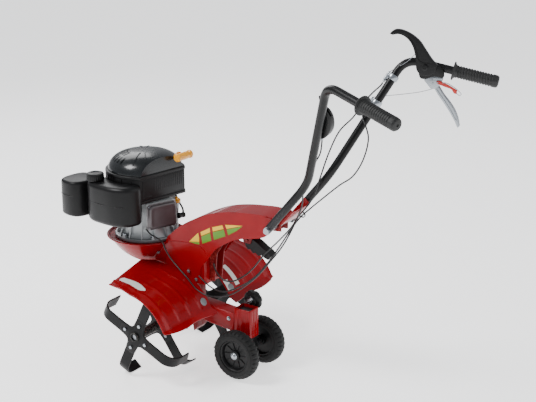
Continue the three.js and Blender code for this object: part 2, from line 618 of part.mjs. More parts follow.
function wheelHub() {
  const rim = RIM_OUTER_RADIUS - TOUCH;
  const bore = WHEEL_AXLE_RADIUS + RUN;
  const back = -WHEEL_WIDTH / 2 + 4;
  const face = WHEEL_WIDTH / 2 - 8;
  const profile = closedLoop([
    [bore, back], [16, back], [16, -4], [rim - 6, -4], [rim - 4, -WHEEL_WIDTH / 2 + 5],
    [rim, -WHEEL_WIDTH / 2 + 5], [rim, WHEEL_WIDTH / 2 - 5], [rim - 4, WHEEL_WIDTH / 2 - 5],
    [rim - 8, 4], [20, 2], [16, face], [bore, face],
  ]);
  return turnedAboutY(profile, WHEEL_SIDES);
}
for (const [side, y] of [["left", WHEEL_CENTRE_Y], ["right", -WHEEL_CENTRE_Y]]) {
  const place = [WHEEL_X, y, WHEEL_RADIUS];
  const faceOut = (shape) => (y > 0 ? shape : mirrored(shape));
  addPiece(`tyre_${side}`, faceOut(tyre()).translate(place), RUBBER);
  addPiece(`wheel_hub_${side}`, faceOut(wheelHub()).translate(place), BLACK_PLASTIC);
}

// The spur lock: a flat lever on the right cheek of the socket with a round knob at its end.
function spurLever() {
  const outline = [[-208, 186], [-216, 180], [-224, 188], [-250, 224], [-242, 232], [-228, 218]];
  const plate = sidePlate(outline, SPUR_LOCK_Y - 4, SPUR_LOCK_Y);
  const bore = rod([SPUR_LOCK.x, -60, SPUR_LOCK.z], [SPUR_LOCK.x, 0, SPUR_LOCK.z], 3 + RUN, 12);
  return plate.subtract(bore).add(spurKnob());
}

function spurKnob() {
  const centre = [-240, SPUR_LOCK_Y - 3, 216];
  const profile = [[0, 0], [14, 0], [16, 6], [30, 8], [33, 14], [31, 22], [24, 26], [0, 27]];
  return turned(profile, 14).rotate([90, 0, 0]).translate(centre);
}
addPiece("spur_lever", spurLever(), ZINC);

// ---------- belt drive ----------
function pulley(x, radius, boreRadius) {
  const grooveRadius = radius - BELT_DEPTH;
  const middle = PULLEY_HEIGHT / 2;
  const halfBelt = BELT_HEIGHT / 2 + TOUCH;
  const profile = closedLoop([
    [boreRadius, 0], [radius, 0], [radius, middle - halfBelt - 1], [grooveRadius, middle - halfBelt],
    [grooveRadius, middle + halfBelt], [radius, middle + halfBelt + 1], [radius, PULLEY_HEIGHT],
    [boreRadius, PULLEY_HEIGHT],
  ]);
  return turned(profile, 16).translate([x, 0, PULLEY_Z]);
}
addPiece("driven_pulley", pulley(WORM_X, DRIVEN_PULLEY_RADIUS, WORM_SHAFT_RADIUS + TOUCH), IRON);

function beltLoop(growth) {
  // Two arcs joined by their common tangents.
  const small = DRIVE_PULLEY_RADIUS - BELT_DEPTH + growth;
  const large = DRIVEN_PULLEY_RADIUS - BELT_DEPTH + growth;
  const lean = Math.asin((large - small) / (DECK_X - WORM_X));
  const points = [];
  const arc = (x, radius, from, to) => {
    const steps = 10;
    for (let i = 0; i <= steps; i += 1) {
      const angle = from + ((to - from) * i) / steps;
      points.push([x + radius * Math.cos(angle), radius * Math.sin(angle)]);
    }
  };
  arc(DECK_X, small, -Math.PI / 2 + lean, Math.PI / 2 - lean);
  arc(WORM_X, large, Math.PI / 2 - lean, 1.5 * Math.PI + lean);
  return points;
}
function driveBelt() {
  const low = PULLEY_Z + PULLEY_HEIGHT / 2 - BELT_HEIGHT / 2;
  const outside = planPlate(beltLoop(BELT_DEPTH + RUB), low, low + BELT_HEIGHT);
  return outside.subtract(planPlate(beltLoop(RUB), low - 1, low + BELT_HEIGHT + 1));
}
addPiece("drive_belt", driveBelt(), RUBBER);

// The tension arm swings a small roller against the slack run of the belt.
function tensionArm() {
  const low = TENSION_Z + 9;
  const [px, py] = TENSION_PIVOT;
  const [rx, ry] = TENSION_ROLLER;
  const strap = planPlate([[px - 8, py - 7], [rx + 6, ry - 6], [rx + 6, ry + 6], [px - 8, py + 7]], low,
    low + 4);
  const bore = rod([px, py, low - 1], [px, py, low + 5], 4 + RUN, 12);
  const roller = rod([rx, ry, TENSION_Z - 6], [rx, ry, TENSION_Z + 6], 10, 20);
  const stub = rod([rx, ry, TENSION_Z - 6], [rx, ry, low + 2], 3, 12);
  return strap.subtract(bore).add(stub).add(roller);
}
addPiece("tension_arm", tensionArm(), ZINC);

// ---------- engine ----------
const engine = new THREE.Group();
engine.position.set(DECK_X, 0, 0);
engine.rotation.z = rad(ENGINE_YAW);
model.add(engine);

const FLANGE_BOTTOM = DECK_PLATE_Z + TOUCH;
const crankBore = (low, high) => rod([0, 0, low], [0, 0, high], CRANK_RADIUS + RUN, 14);
function crankcase() {
  const flangeTop = FLANGE_BOTTOM + 10;
  const profile = [[0, FLANGE_BOTTOM], [ENGINE_FLANGE_RADIUS, FLANGE_BOTTOM],
    [ENGINE_FLANGE_RADIUS, flangeTop], [CRANKCASE_RADIUS + 6, flangeTop + 2],
    [CRANKCASE_RADIUS, flangeTop + 26], [CRANKCASE_RADIUS - 6, 470],
    [60, 492], [58, CRANKCASE_TOP], [0, CRANKCASE_TOP]];
  const room = rod([0, 0, flangeTop + 2], [0, 0, 470], CRANKCASE_RADIUS - 14, 16);
  let body = turned(profile, 22).subtract(room);
  const headSeat = rod([-40, 0, 460], [-60, 0, 460], 48, 16).subtract(room);
  body = body.add(headSeat.rotate([0, 0, HEAD_YAW]));
  return body.subtract(crankBore(300, 700));
}

const HEAD_LOW = 418;
const HEAD_HIGH = 506;
const finStart = 84;
const finEnd = 62;
function cylinder() {
  const core = block([-finStart - 4, -HEAD_HALF_WIDTH + 14, HEAD_LOW + 12],
    [-60.5, HEAD_HALF_WIDTH - 14, HEAD_HIGH - 10]);
  let shape = core;
  for (let x = finEnd; x <= finStart; x += 7) {
    shape = shape.add(block([-x - 2.2, -HEAD_HALF_WIDTH, HEAD_LOW], [-x, HEAD_HALF_WIDTH, HEAD_HIGH]));
  }
  return shape.rotate([0, 0, HEAD_YAW]);
}

// The oil filler stands beside the cylinder. Crankcase, cylinder and filler are one casting.
const oilBase = [-48, -80, FLANGE_BOTTOM + 6];
const oilTop = [-72, -64, 486];
const engineCasting = crankcase().add(cylinder()).add(rod(oilBase, oilTop, 9, 14));
addPiece("crankcase", engineCasting, CAST_ALUMINIUM, engine);

const head = new THREE.Group();
head.rotation.z = rad(HEAD_YAW);
engine.add(head);

function rockerCover() {
  const corner = 9;
  const low = HEAD_LOW + 2;
  const high = HEAD_HIGH - 2;
  const shape = new THREE.Shape();
  const half = HEAD_HALF_WIDTH + 1;
  shape.moveTo(-half + corner, low);
  shape.lineTo(half - corner, low);
  shape.lineTo(half, low + corner);
  shape.lineTo(half, high - corner);
  shape.lineTo(half - corner, high);
  shape.lineTo(-half + corner, high);
  shape.lineTo(-half, high - corner);
  shape.lineTo(-half, low + corner);
  shape.closePath();
  const options = { depth: 8, bevelEnabled: true, bevelThickness: 2.5, bevelSize: 2.5,
    bevelOffset: -2.5, bevelSegments: 2 };
  const geometry = new THREE.ExtrudeGeometry(shape, options);
  geometry.applyMatrix4(new THREE.Matrix4().makeBasis(
    new THREE.Vector3(0, 1, 0),
    new THREE.Vector3(0, 0, 1),
    new THREE.Vector3(1, 0, 0),
  ));
  return solid(geometry).translate([-finStart - 4 - 8 - 2.5 - TOUCH, 0, 0]);
}
addPiece("rocker_cover", rockerCover(), HEAD_PAINT, head);

function sparkPlug() {
  const y = -HEAD_HALF_WIDTH - TOUCH;
  const body = rod([-75, y, 442], [-75, y - 16, 442], 8, 12);
  const boot = rod([-75, y - 15, 442], [-78, y - 40, 446], 10, 12);
  return body.add(boot);
}
addPiece("spark_plug", sparkPlug(), BLACK_PLASTIC, head);

function shroudOutline(inset) {
  const radius = SHROUD_RADIUS - inset;
  const rear = SHROUD_REAR - inset;
  const cornerAngle = Math.acos(rear / radius);
  const points = [];
  const steps = 22;
  const from = -Math.PI + cornerAngle;
  const to = Math.PI - cornerAngle;
  for (let i = 0; i <= steps; i += 1) {
    const angle = from + ((to - from) * i) / steps;
    points.push([radius * Math.cos(angle), radius * Math.sin(angle)]);
  }
  return points;
}
function engineShroud() {
  const outside = planPlate(shroudOutline(0), SHROUD_BOTTOM, SHROUD_TOP);
  const room = planPlate(shroudOutline(SHEET), SHROUD_BOTTOM - 1, SHROUD_TOP - SHEET);
  const fanInlet = rod([0, 0, 500], [0, 0, SHROUD_TOP + 1], 84, 32);
  return outside.subtract(room).subtract(fanInlet);
}
addPiece("engine_shroud", engineShroud(), BLACK_PLASTIC, engine);

const ROPE_HOLE = { x: -66, y: -70, z: 620 };
const pullDirection = new THREE.Vector3(-0.86, -0.12, 0.5).normalize();
function starterDome() {
  const rise = DOME_TOP - SHROUD_TOP - TOUCH;
  const base = SHROUD_RADIUS - 8;
  const arc = (inset) => {
    const points = [];
    const steps = 4;
    for (let i = 0; i <= steps; i += 1) {
      const angle = (Math.PI / 2) * (i / steps);
      points.push([(base - inset) * Math.cos(angle) ** 0.8,
        SHROUD_TOP + TOUCH + (rise - inset) * Math.sin(angle)]);
    }
    points[steps][0] = 0;
    return points;
  };
  const outside = turned([[0, SHROUD_TOP + TOUCH], ...arc(0)], 22);
  const room = turned([[0, SHROUD_TOP + TOUCH - 1], [base - 3, SHROUD_TOP + TOUCH - 1], ...arc(3)], 22);
  const rearCut = block([-200, -200, 500], [-SHROUD_REAR + 4, 200, 700]);
  let dome = outside.subtract(rearCut).subtract(room.subtract(block([-200, -200, 500],
    [-SHROUD_REAR + 7, 200, 700])));
  const start = new THREE.Vector3(ROPE_HOLE.x, ROPE_HOLE.y, ROPE_HOLE.z);
  const from = start.clone().addScaledVector(pullDirection, -30);
  const to = start.clone().addScaledVector(pullDirection, 60);
  dome = dome.subtract(rod(from.toArray(), to.toArray(), 5, 12));
  for (let slot = 0; slot < 5; slot += 1) {
    const angle = 20 + slot * 12;
    const cut = block([62, -2.5, 560], [104, 2.5, 700]).rotate([0, 0, angle]);
    dome = dome.subtract(cut);
  }
  return dome;
}
addPiece("starter_dome", starterDome(), GREY_PLASTIC, engine);

const PULL_LENGTH = 90; // of rope that can be drawn out past the dome
const gripGap = 16; // from the dome to the starter handle at rest
function starterHandle() {
  const start = new THREE.Vector3(ROPE_HOLE.x, ROPE_HOLE.y, ROPE_HOLE.z);
  const seat = start.clone().addScaledVector(pullDirection, gripGap);
  const outer = seat.clone().addScaledVector(pullDirection, 22);
  const across = new THREE.Vector3(0, 0, 1).cross(pullDirection).normalize();
  const bar = rod(
    outer.clone().addScaledVector(across, -30).toArray(),
    outer.clone().addScaledVector(across, 30).toArray(),
    9,
    12,
  );
  return rod(seat.toArray(), outer.toArray(), 8, 12, 11).add(bar).add(starterRope());
}
// The rope is knotted in the handle and runs through a hole in the dome to its reel.
function starterRope() {
  const start = new THREE.Vector3(ROPE_HOLE.x, ROPE_HOLE.y, ROPE_HOLE.z);
  const inner = start.clone().addScaledVector(pullDirection, -PULL_LENGTH - 18);
  const outer = start.clone().addScaledVector(pullDirection, gripGap + 15);
  return rod(inner.toArray(), outer.toArray(), 2.2, 8);
}
addPiece("starter_handle", starterHandle(), ORANGE_PLASTIC, engine);

// Fuel tank wrapped round the left of the shroud.
function roundedPlan(points, low, high, bevel) {
  const shape = new THREE.Shape();
  const curve = new THREE.CatmullRomCurve3(points.map(([x, y]) => new THREE.Vector3(x, y, 0)), true,
    "centripetal");
  const rounded = curve.getPoints(points.length * 2).slice(0, -1);
  shape.setFromPoints(rounded.map((p) => new THREE.Vector2(p.x, p.y)));
  const options = { depth: high - low - 2 * bevel, bevelEnabled: true, bevelThickness: bevel,
    bevelSize: bevel, bevelOffset: -bevel, bevelSegments: 2 };
  return solid(new THREE.ExtrudeGeometry(shape, options).translate(0, 0, low + bevel));
}
const TANK_BOTTOM = 448;
const TANK_TOP = 577;
const TANK_NECK = { x: 62, y: 152, radius: 17 };
function fuelTank() {
  const outline = [[-88, 96], [-84, 150], [-50, 176], [10, 186], [62, 182], [88, 162], [90, 120],
    [66, 96], [-20, 92]];
  const body = roundedPlan(outline, TANK_BOTTOM, TANK_TOP, 14);
  const shroudRoom = rod([0, 0, 430], [0, 0, 700], SHROUD_RADIUS + TOUCH, 56);
  const { x, y, radius } = TANK_NECK;
  const neck = rod([x, y, TANK_TOP - 10], [x, y, TANK_TOP + 9], radius, 20);
  return body.subtract(shroudRoom).add(neck);
}
addPiece("fuel_tank", fuelTank(), BLACK_PLASTIC, engine);

function fuelCap() {
  const low = TANK_TOP + 0.6;
  const bore = TANK_NECK.radius + RUB;
  const profile = closedLoop([[bore, low], [27, low], [28, low + 4], [27, low + 20], [22, low + 24],
    [0, low + 24], [0, low + 9], [bore, low + 9]]);
  return turned(profile, 14).translate([TANK_NECK.x, TANK_NECK.y, 0]);
}
addPiece("fuel_cap", fuelCap(), BLACK_PLASTIC, engine);

function airFilter() {
  const outline = [[106, 98], [106, 176], [124, 198], [180, 196], [200, 170], [200, 100], [176, 84],
    [126, 84]];
  const body = roundedPlan(outline, 450, 566, 8);
  const tankRoom = rod([0, 0, 430], [0, 0, 700], SHROUD_RADIUS + TOUCH, 56);
  return body.subtract(tankRoom);
}
addPiece("air_filter", airFilter(), BLACK_PLASTIC, engine);

function muffler() {
  const outline = [[10, -92], [10, -136], [30, -150], [100, -150], [112, -134], [112, -100], [92, -86],
    [30, -84]];
  return roundedPlan(outline, 430, 508, 8);
}
addPiece("muffler", muffler(), IRON, engine);

const oilAxis = new THREE.Vector3(...oilTop).sub(new THREE.Vector3(...oilBase)).normalize();
const beyondOilTop = (reach) => new THREE.Vector3(...oilTop).addScaledVector(oilAxis, reach).toArray();
addPiece("oil_cap", rod(beyondOilTop(TOUCH), beyondOilTop(17), 12, 14), ORANGE_PLASTIC, engine);

// ---------- crankshaft group ----------
const crankBottom = PULLEY_Z - 2;
addPiece("crankshaft", rod([DECK_X, 0, crankBottom], [DECK_X, 0, 566], CRANK_RADIUS, 20), STEEL);
addPiece("drive_pulley", pulley(DECK_X, DRIVE_PULLEY_RADIUS, CRANK_RADIUS + TOUCH), IRON);

function flywheel() {
  const low = 520;
  const rim = SHROUD_REAR - SHEET - 4;
  const bore = CRANK_RADIUS + TOUCH;
  let wheel = turned(closedLoop([[bore, low], [rim - 2, low], [rim, low + 6], [rim - 2, low + 14],
    [40, low + 16], [30, low + 34], [bore, low + 34]]), 18);
  const blades = 6;
  for (let i = 0; i < blades; i += 1) {
    const blade = block([44, -1.5, low + 12], [rim - 3, 1.5, low + 34]).rotate([0, 0, (360 * i) / blades]);
    wheel = wheel.add(blade);
  }
  return wheel.translate([DECK_X, 0, 0]);
}
addPiece("flywheel", flywheel(), CAST_ALUMINIUM);

// ---------- handlebar ----------
const handlePath = (side) => {
  const corners = [LOWER_END, LOW_BEND, HIGH_BEND, GRIP_START.clone().lerp(GRIP_END, 0.9)];
  return bentPath(corners.map((p) => new THREE.Vector3(p.x, p.y * side, p.z)), 46);
};
function handleTube(side) {
  const boltBore = rod([PIVOT.x, -200, PIVOT.z], [PIVOT.x, 200, PIVOT.z], PIVOT_BOLT_RADIUS + TOUCH, 12);
  return sweep(handlePath(side), TUBE_RADIUS, 22, 8, TUBE_RADIUS - TUBE_WALL).subtract(boltBore);
}
addPiece("handle_tube_left", handleTube(1), BLACK_PAINT);
addPiece("handle_tube_right", handleTube(-1), BLACK_PAINT);

function grip(side) {
  const start = new THREE.Vector3(GRIP_START.x, GRIP_START.y * side, GRIP_START.z);
  const end = new THREE.Vector3(GRIP_END.x, GRIP_END.y * side, GRIP_END.z);
  const length = start.distanceTo(end);
  const bore = TUBE_RADIUS + TOUCH;
  const inside = length * 0.9 + TOUCH;
  const profile = closedLoop([[bore, 0], [GRIP_FLANGE_RADIUS, 0], [GRIP_FLANGE_RADIUS, 4],
    [GRIP_RADIUS + 2, 7], [GRIP_RADIUS, 12], [GRIP_RADIUS, length - 4], [GRIP_RADIUS - 3, length],
    [0, length], [0, inside], [bore, inside]]);
  const points = profile.map(([r, h]) => new THREE.Vector2(r, h));
  const geometry = new THREE.LatheGeometry(points, 16);
  geometry.applyQuaternion(
    new THREE.Quaternion().setFromUnitVectors(new THREE.Vector3(0, 1, 0),
      end.clone().sub(start).normalize()),
  );
  geometry.translate(start.x, start.y, start.z);
  const shape = solid(geometry);
  return shape.volume() > 0 ? shape : solid(turnedInsideOut(geometry));
}
addPiece("grip_left", grip(1), RUBBER);
addPiece("grip_right", grip(-1), RUBBER);

// The red cross bracket that ties the two tubes above the pivot.
const tubeRun = new THREE.Vector3().subVectors(LOW_BEND, LOWER_END).normalize();
function handleBracket() {
  const wall = 3;
  const gap = TUBE_RADIUS + TOUCH;
  const half = TUBE_Y - gap;
  const lean = THREE.MathUtils.radToDeg(Math.atan2(tubeRun.z, -tubeRun.x));
  const outside = block([-96, -half, -TUBE_RADIUS - wall], [-34, half, TUBE_RADIUS]);
  const room = block([-97, -half + wall, -TUBE_RADIUS], [-33, half - wall, TUBE_RADIUS + 1]);
  return outside.subtract(room).rotate([0, lean, 0]).translate([PIVOT.x, 0, PIVOT.z]);
}
addPiece("handle_bracket", handleBracket(), RED);

// ---------- controls on the right grip, in a frame whose x runs forward along the grip ----------
const gripRun = new THREE.Vector2(GRIP_START.x - HIGH_BEND.x, GRIP_START.y - HIGH_BEND.y);
const CONTROL_YAW = Math.atan2(gripRun.y, -gripRun.x);
const controls = new THREE.Group();
const CONTROL_X = -720;
const controlShare = (CONTROL_X - HIGH_BEND.x) / gripRun.x;
controls.position.set(CONTROL_X, -(HIGH_BEND.y + controlShare * gripRun.y), 0);
controls.rotation.z = CONTROL_YAW;
model.add(controls);

const CHEEK = TUBE_RADIUS + 1.2; // inner face of the control bracket, beside the tube
const CHEEK_THICK = 7;
const LEVER_INNER = CHEEK + CHEEK_THICK + 0.5;
const LEVER_THICK = 15;
const CLUTCH_PIVOT = { x: 9, z: 978 };
const REVERSE_PIVOT = { x: -12, z: 928 };
const LATCH_PIVOT = { x: -27, z: 932 };

function controlBracket() {
  const outline = [[26, 992], [16, 1004], [0, 1004], [-16, 992], [-44, 968], [-44, 946], [-14, 949],
    [10, 940], [24, 943], [30, 966]];
  const outer = LEVER_INNER + LEVER_THICK + 0.5;
  const pin = rod([CLUTCH_PIVOT.x, CHEEK + 1, CLUTCH_PIVOT.z],
    [CLUTCH_PIVOT.x, outer + 1, CLUTCH_PIVOT.z], 4, 12);
  const pinHead = rod([CLUTCH_PIVOT.x, outer, CLUTCH_PIVOT.z],
    [CLUTCH_PIVOT.x, outer + 4, CLUTCH_PIVOT.z], 9, 12);
  return sidePlate(outline, CHEEK, CHEEK + CHEEK_THICK).add(pin).add(pinHead);
}
addPiece("control_bracket", controlBracket(), BLACK_PLASTIC, controls);

function clutchLever() {
  const shape = new THREE.Shape();
  shape.moveTo(113, 1070);
  const back = [[107, 1077], [96, 1083], [81, 1083], [62, 1077], [41, 1065], [24, 1050], [9, 1029],
    [-11, 1001], [-26, 986]];
  shape.splineThru(back.map(([x, z]) => new THREE.Vector2(x, z)));
  shape.lineTo(-20, 966);
  shape.lineTo(-4, 955);
  shape.lineTo(20, 955);
  shape.lineTo(33, 970);
  const inner = [[36, 1000], [40, 1018], [46, 1036], [56, 1052], [70, 1064], [88, 1070], [104, 1067]];
  shape.splineThru(inner.map(([x, z]) => new THREE.Vector2(x, z)));
  shape.closePath();
  const bore = rod([CLUTCH_PIVOT.x, 0, CLUTCH_PIVOT.z], [CLUTCH_PIVOT.x, 60, CLUTCH_PIVOT.z], 4 + RUN, 12);
  return sidePlate(shape, LEVER_INNER, LEVER_INNER + LEVER_THICK).subtract(bore);
}
addPiece("clutch_lever", clutchLever(), BLACK_PLASTIC, controls);

const REVERSE_HALF = 8;
function reverseLever() {
  const shape = new THREE.Shape();
  shape.moveTo(-22, 932);
  const back = [[-45, 896], [-65, 872], [-80, 849], [-89, 827], [-94, 806]];
  shape.splineThru(back.map(([x, z]) => new THREE.Vector2(x, z)));
  shape.lineTo(-88, 800);
  const inner = [[-77, 822], [-66, 841], [-49, 866], [-29, 893], [-14, 915], [-4, 922]];
  shape.splineThru(inner.map(([x, z]) => new THREE.Vector2(x, z)));
  shape.lineTo(-4, 934);
  shape.closePath();
  const outside = sidePlate(shape, -REVERSE_HALF, REVERSE_HALF);
  const bore = rod([REVERSE_PIVOT.x, -60, REVERSE_PIVOT.z], [REVERSE_PIVOT.x, 60, REVERSE_PIVOT.z],
    3 + RUN, 10);
  return outside.subtract(bore);
}
addPiece("reverse_lever", reverseLever(), ZINC, controls);

function reverseBracket() {
  const inner = REVERSE_HALF + 0.5;
  const outline = [[14, 939], [-14, 948], [-40, 945], [-33, 922], [-10, 910], [4, 924]];
  const left = sidePlate(outline, inner, inner + 2.4);
  const web = block([-38, -inner - 2.4, 940], [-12, inner + 2.4, 943]);
  const pin = rod([REVERSE_PIVOT.x, -inner - 4, REVERSE_PIVOT.z],
    [REVERSE_PIVOT.x, inner + 4, REVERSE_PIVOT.z], 3, 12);
  const lug = block([-40, inner, 940], [-12, CHEEK - TOUCH, 945]);
  const latchPin = rod([LATCH_PIVOT.x, inner + 1, LATCH_PIVOT.z],
    [LATCH_PIVOT.x, inner + 9, LATCH_PIVOT.z], 1.5, 8);
  return left.add(mirrored(left)).add(web).add(lug).add(pin).add(latchPin);
}
addPiece("reverse_bracket", reverseBracket(), ZINC, controls);

function safetyLatch() {
  const inner = REVERSE_HALF + 0.5 + 2.4 + TOUCH * 2;
  const outline = [[-22, 936], [-30, 938], [-50, 930], [-66, 922], [-84, 912], [-82, 900], [-74, 902],
    [-66, 914], [-48, 920], [-26, 927]];
  const bore = rod([LATCH_PIVOT.x, 0, LATCH_PIVOT.z], [LATCH_PIVOT.x, 60, LATCH_PIVOT.z], 1.5 + RUN, 10);
  return sidePlate(outline, inner, inner + 4).subtract(bore);
}
addPiece("safety_latch", safetyLatch(), RED_PLASTIC, controls);

// ---------- throttle on the left tube ----------
const leftTubeAt = (share) => LOW_BEND.clone().lerp(HIGH_BEND, share);
const THROTTLE_SHARE = 0.59; // place of the throttle between the two bends
const tubeUp = HIGH_BEND.clone().sub(LOW_BEND).normalize();
const outward = new THREE.Vector3(0, 1, 0).addScaledVector(tubeUp, -tubeUp.y).normalize();
const forward = outward.clone().cross(tubeUp);
const throttle = new THREE.Group();
throttle.position.copy(leftTubeAt(THROTTLE_SHARE));
throttle.quaternion.setFromRotationMatrix(new THREE.Matrix4().makeBasis(forward, outward, tubeUp));
model.add(throttle);
const THROTTLE_OUTER = -TUBE_RADIUS - 0.6; // face of the box against the tube
const THROTTLE_THICK = 24;
const leverSlotHalf = 3;
function throttleBox() {
  const shape = new THREE.Shape();
  shape.moveTo(6, 54);
  const back = [[-12, 46], [-26, 20], [-28, -8], [-20, -34], [-8, -50], [8, -54], [16, -44]];
  shape.splineThru(back.map(([x, z]) => new THREE.Vector2(x, z)));
  shape.lineTo(18, 40);
  shape.closePath();
  const inner = THROTTLE_OUTER - THROTTLE_THICK;
  const middle = THROTTLE_OUTER - THROTTLE_THICK / 2;
  const slot = block([-16, middle - leverSlotHalf, -11], [60, middle + leverSlotHalf, 60]);
  const pin = rod([0, inner - 3, 0], [0, THROTTLE_OUTER - 1, 0], 3, 12);
  return sidePlate(shape, inner, THROTTLE_OUTER).subtract(slot).add(pin);
}
addPiece("throttle_box", throttleBox(), BLACK_PLASTIC, throttle);

function throttleLever() {
  const middle = THROTTLE_OUTER - THROTTLE_THICK / 2;
  const half = leverSlotHalf - 0.5;
  const outline = [[-8, -6], [6, -6], [12, 30], [26, 62], [34, 84], [20, 86], [8, 66], [-4, 30], [-10, 4]];
  return sidePlate(outline, middle - half, middle + half).subtract(
    rod([0, middle - 10, 0], [0, middle + 10, 0], 3 + RUN, 10),
  );
}
addPiece("throttle_lever", throttleLever(), BLACK_PLASTIC, throttle);

// ---------- cable adjusters on the right tube ----------
const rightRun = new THREE.Vector3(HIGH_BEND.x - LOW_BEND.x, -(HIGH_BEND.y - LOW_BEND.y),
  HIGH_BEND.z - LOW_BEND.z);
const rightTubeAt = (share) => new THREE.Vector3(LOW_BEND.x, -LOW_BEND.y, LOW_BEND.z)
  .addScaledVector(rightRun, share);
const BARREL_OFFSET = TUBE_RADIUS + 9; // from the tube's middle to the adjuster's barrel

// A round bar along the tube, centred on a point.
function barAlongTube(centre, half, radius, sides) {
  const along = rightRun.clone().normalize();
  const start = centre.clone().addScaledVector(along, -half);
  const end = centre.clone().addScaledVector(along, half);
  return rod(start.toArray(), end.toArray(), radius, sides);
}

function cableAdjuster(share) {
  const centre = rightTubeAt(share);
  const barrel = centre.clone().add(new THREE.Vector3(BARREL_OFFSET, 0, 0));
  const collar = barAlongTube(centre, 8, TUBE_RADIUS + 4, 12);
  const collarBore = barAlongTube(centre, 20, TUBE_RADIUS + RUB, 12);
  const arm = block([0, -5, -7], [BARREL_OFFSET + 3, 5, 7]).translate(centre.toArray());
  const sleeve = barAlongTube(barrel, 18, 5.5, 8);
  const wireBore = barAlongTube(barrel, 30, WIRE_RADIUS + TOUCH, 6);
  return collar.add(arm).add(sleeve).subtract(collarBore).subtract(wireBore);
}
const CLUTCH_ADJUSTER = 0.84;
const REVERSE_ADJUSTER = 0.62;
addPiece("clutch_adjuster", cableAdjuster(CLUTCH_ADJUSTER), ZINC);
addPiece("reverse_adjuster", cableAdjuster(REVERSE_ADJUSTER), ZINC);

// ---------- control cables ----------
const adjusterEnd = (share, reach) =>
  rightTubeAt(share).add(new THREE.Vector3(BARREL_OFFSET, 0, 0))
    .addScaledVector(rightRun.clone().normalize(), reach);
const cable = (points, steps) => sweep(curveThrough(points), CABLE_RADIUS, steps, 8);

// Each cable is cut where it passes the pivot, so that one length swings with the handlebar.
const clutchUpper = [adjusterEnd(CLUTCH_ADJUSTER, -20), adjusterEnd(CLUTCH_ADJUSTER, -30),
  [-578, -172, 896], [-553, -156, 862], [-532, -138, 822], [-505, -108, 784], [-488, -76, 722],
  [-478, -42, 648], [-466, -20, 590], [-430, 0, 533]];
const reverseUpper = [adjusterEnd(REVERSE_ADJUSTER, -20), adjusterEnd(REVERSE_ADJUSTER, -28),
  [-570, -126, 830], [-590, -112, 804], [-598, -112, 772], [-589, -100, 710], [-561, -90, 658],
  [-524, -80, 628], [-470, -66, 578], [-440, -42, 546], [-430, -14, 530]];
const throttleUpper = [[-573, 106, 812], [-556, 88, 766], [-516, 64, 716], [-492, 52, 676],
  [-470, 36, 622], [-460, 26, 582], [-437, 14, 537]];
addPiece("clutch_cable_upper", cable(clutchUpper, 22), BLACK_PLASTIC);
addPiece("reverse_cable_upper", cable(reverseUpper, 24), BLACK_PLASTIC);
addPiece("throttle_cable_upper", cable(throttleUpper, 14), BLACK_PLASTIC);

const clutchLower = [[-429, 0.5, 531], [-414, 12, 502], [-382, 24, 461], [-328, 26, 404],
  [-288, 28, 352], [-256, 30, 322], [-218, 34, 299], [-181, 34, 297], [-153, 30, 317], [-142, 28, 340]];
const reverseLower = [[-429, -12, 528], [-408, 4, 492], [-380, 26, 436], [-354, 44, 390],
  [-316, 60, 340], [-276, 76, 308], [-222, 84, 282], [-182, 80, 280], [-134, 66, 290], [-106, 56, 300]];
const throttleLower = [[-436, 14.5, 535.5], [-426, 28, 500], [-408, 52, 452], [-372, 74, 396],
  [-342, 86, 356], [-306, 94, 322], [-262, 98, 288], [-216, 99, 270], [-170, 99, 262], [-124, 96, 274],
  [-88, 91, 300], [-50, 84, 322], [-10, 74, 346], [14, 69, 370], [24, 69, 390], [38, 76, 402],
  [58, 83, 412], [76, 85, 428]];
addPiece("clutch_cable_lower", cable(clutchLower, 20), BLACK_PLASTIC);
addPiece("reverse_cable_lower", cable(reverseLower, 20), BLACK_PLASTIC);
addPiece("throttle_cable_lower", cable(throttleLower, 32), BLACK_PLASTIC);

// ---------- stand the model on its own base ----------
const part = new THREE.Group();
part.add(model);
model.updateMatrixWorld(true);
const extent = new THREE.Box3().setFromObject(model, true);
const middle = extent.getCenter(new THREE.Vector3());
model.position.set(-middle.x, -middle.y, -extent.min.z);

export default part;
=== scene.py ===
# %% [markdown]
# # A small petrol tiller, dressed for a studio picture
# The frame that this file loads is the machine's exact working model: every sheet, shaft and lever is
# already in its place, at its real size. What it lacks is finish. Here the round and pressed pieces are
# made again with smooth curves, every surface gets a paint, casting or rubber of its own, and small
# fittings such as bolts, wires and ties are added. Nothing is moved: each new piece takes its place from
# the frame, and rides on the body that carries it.

# %% The frame
import bmesh
import bpy
import json
import math
from mathutils import Matrix, Vector


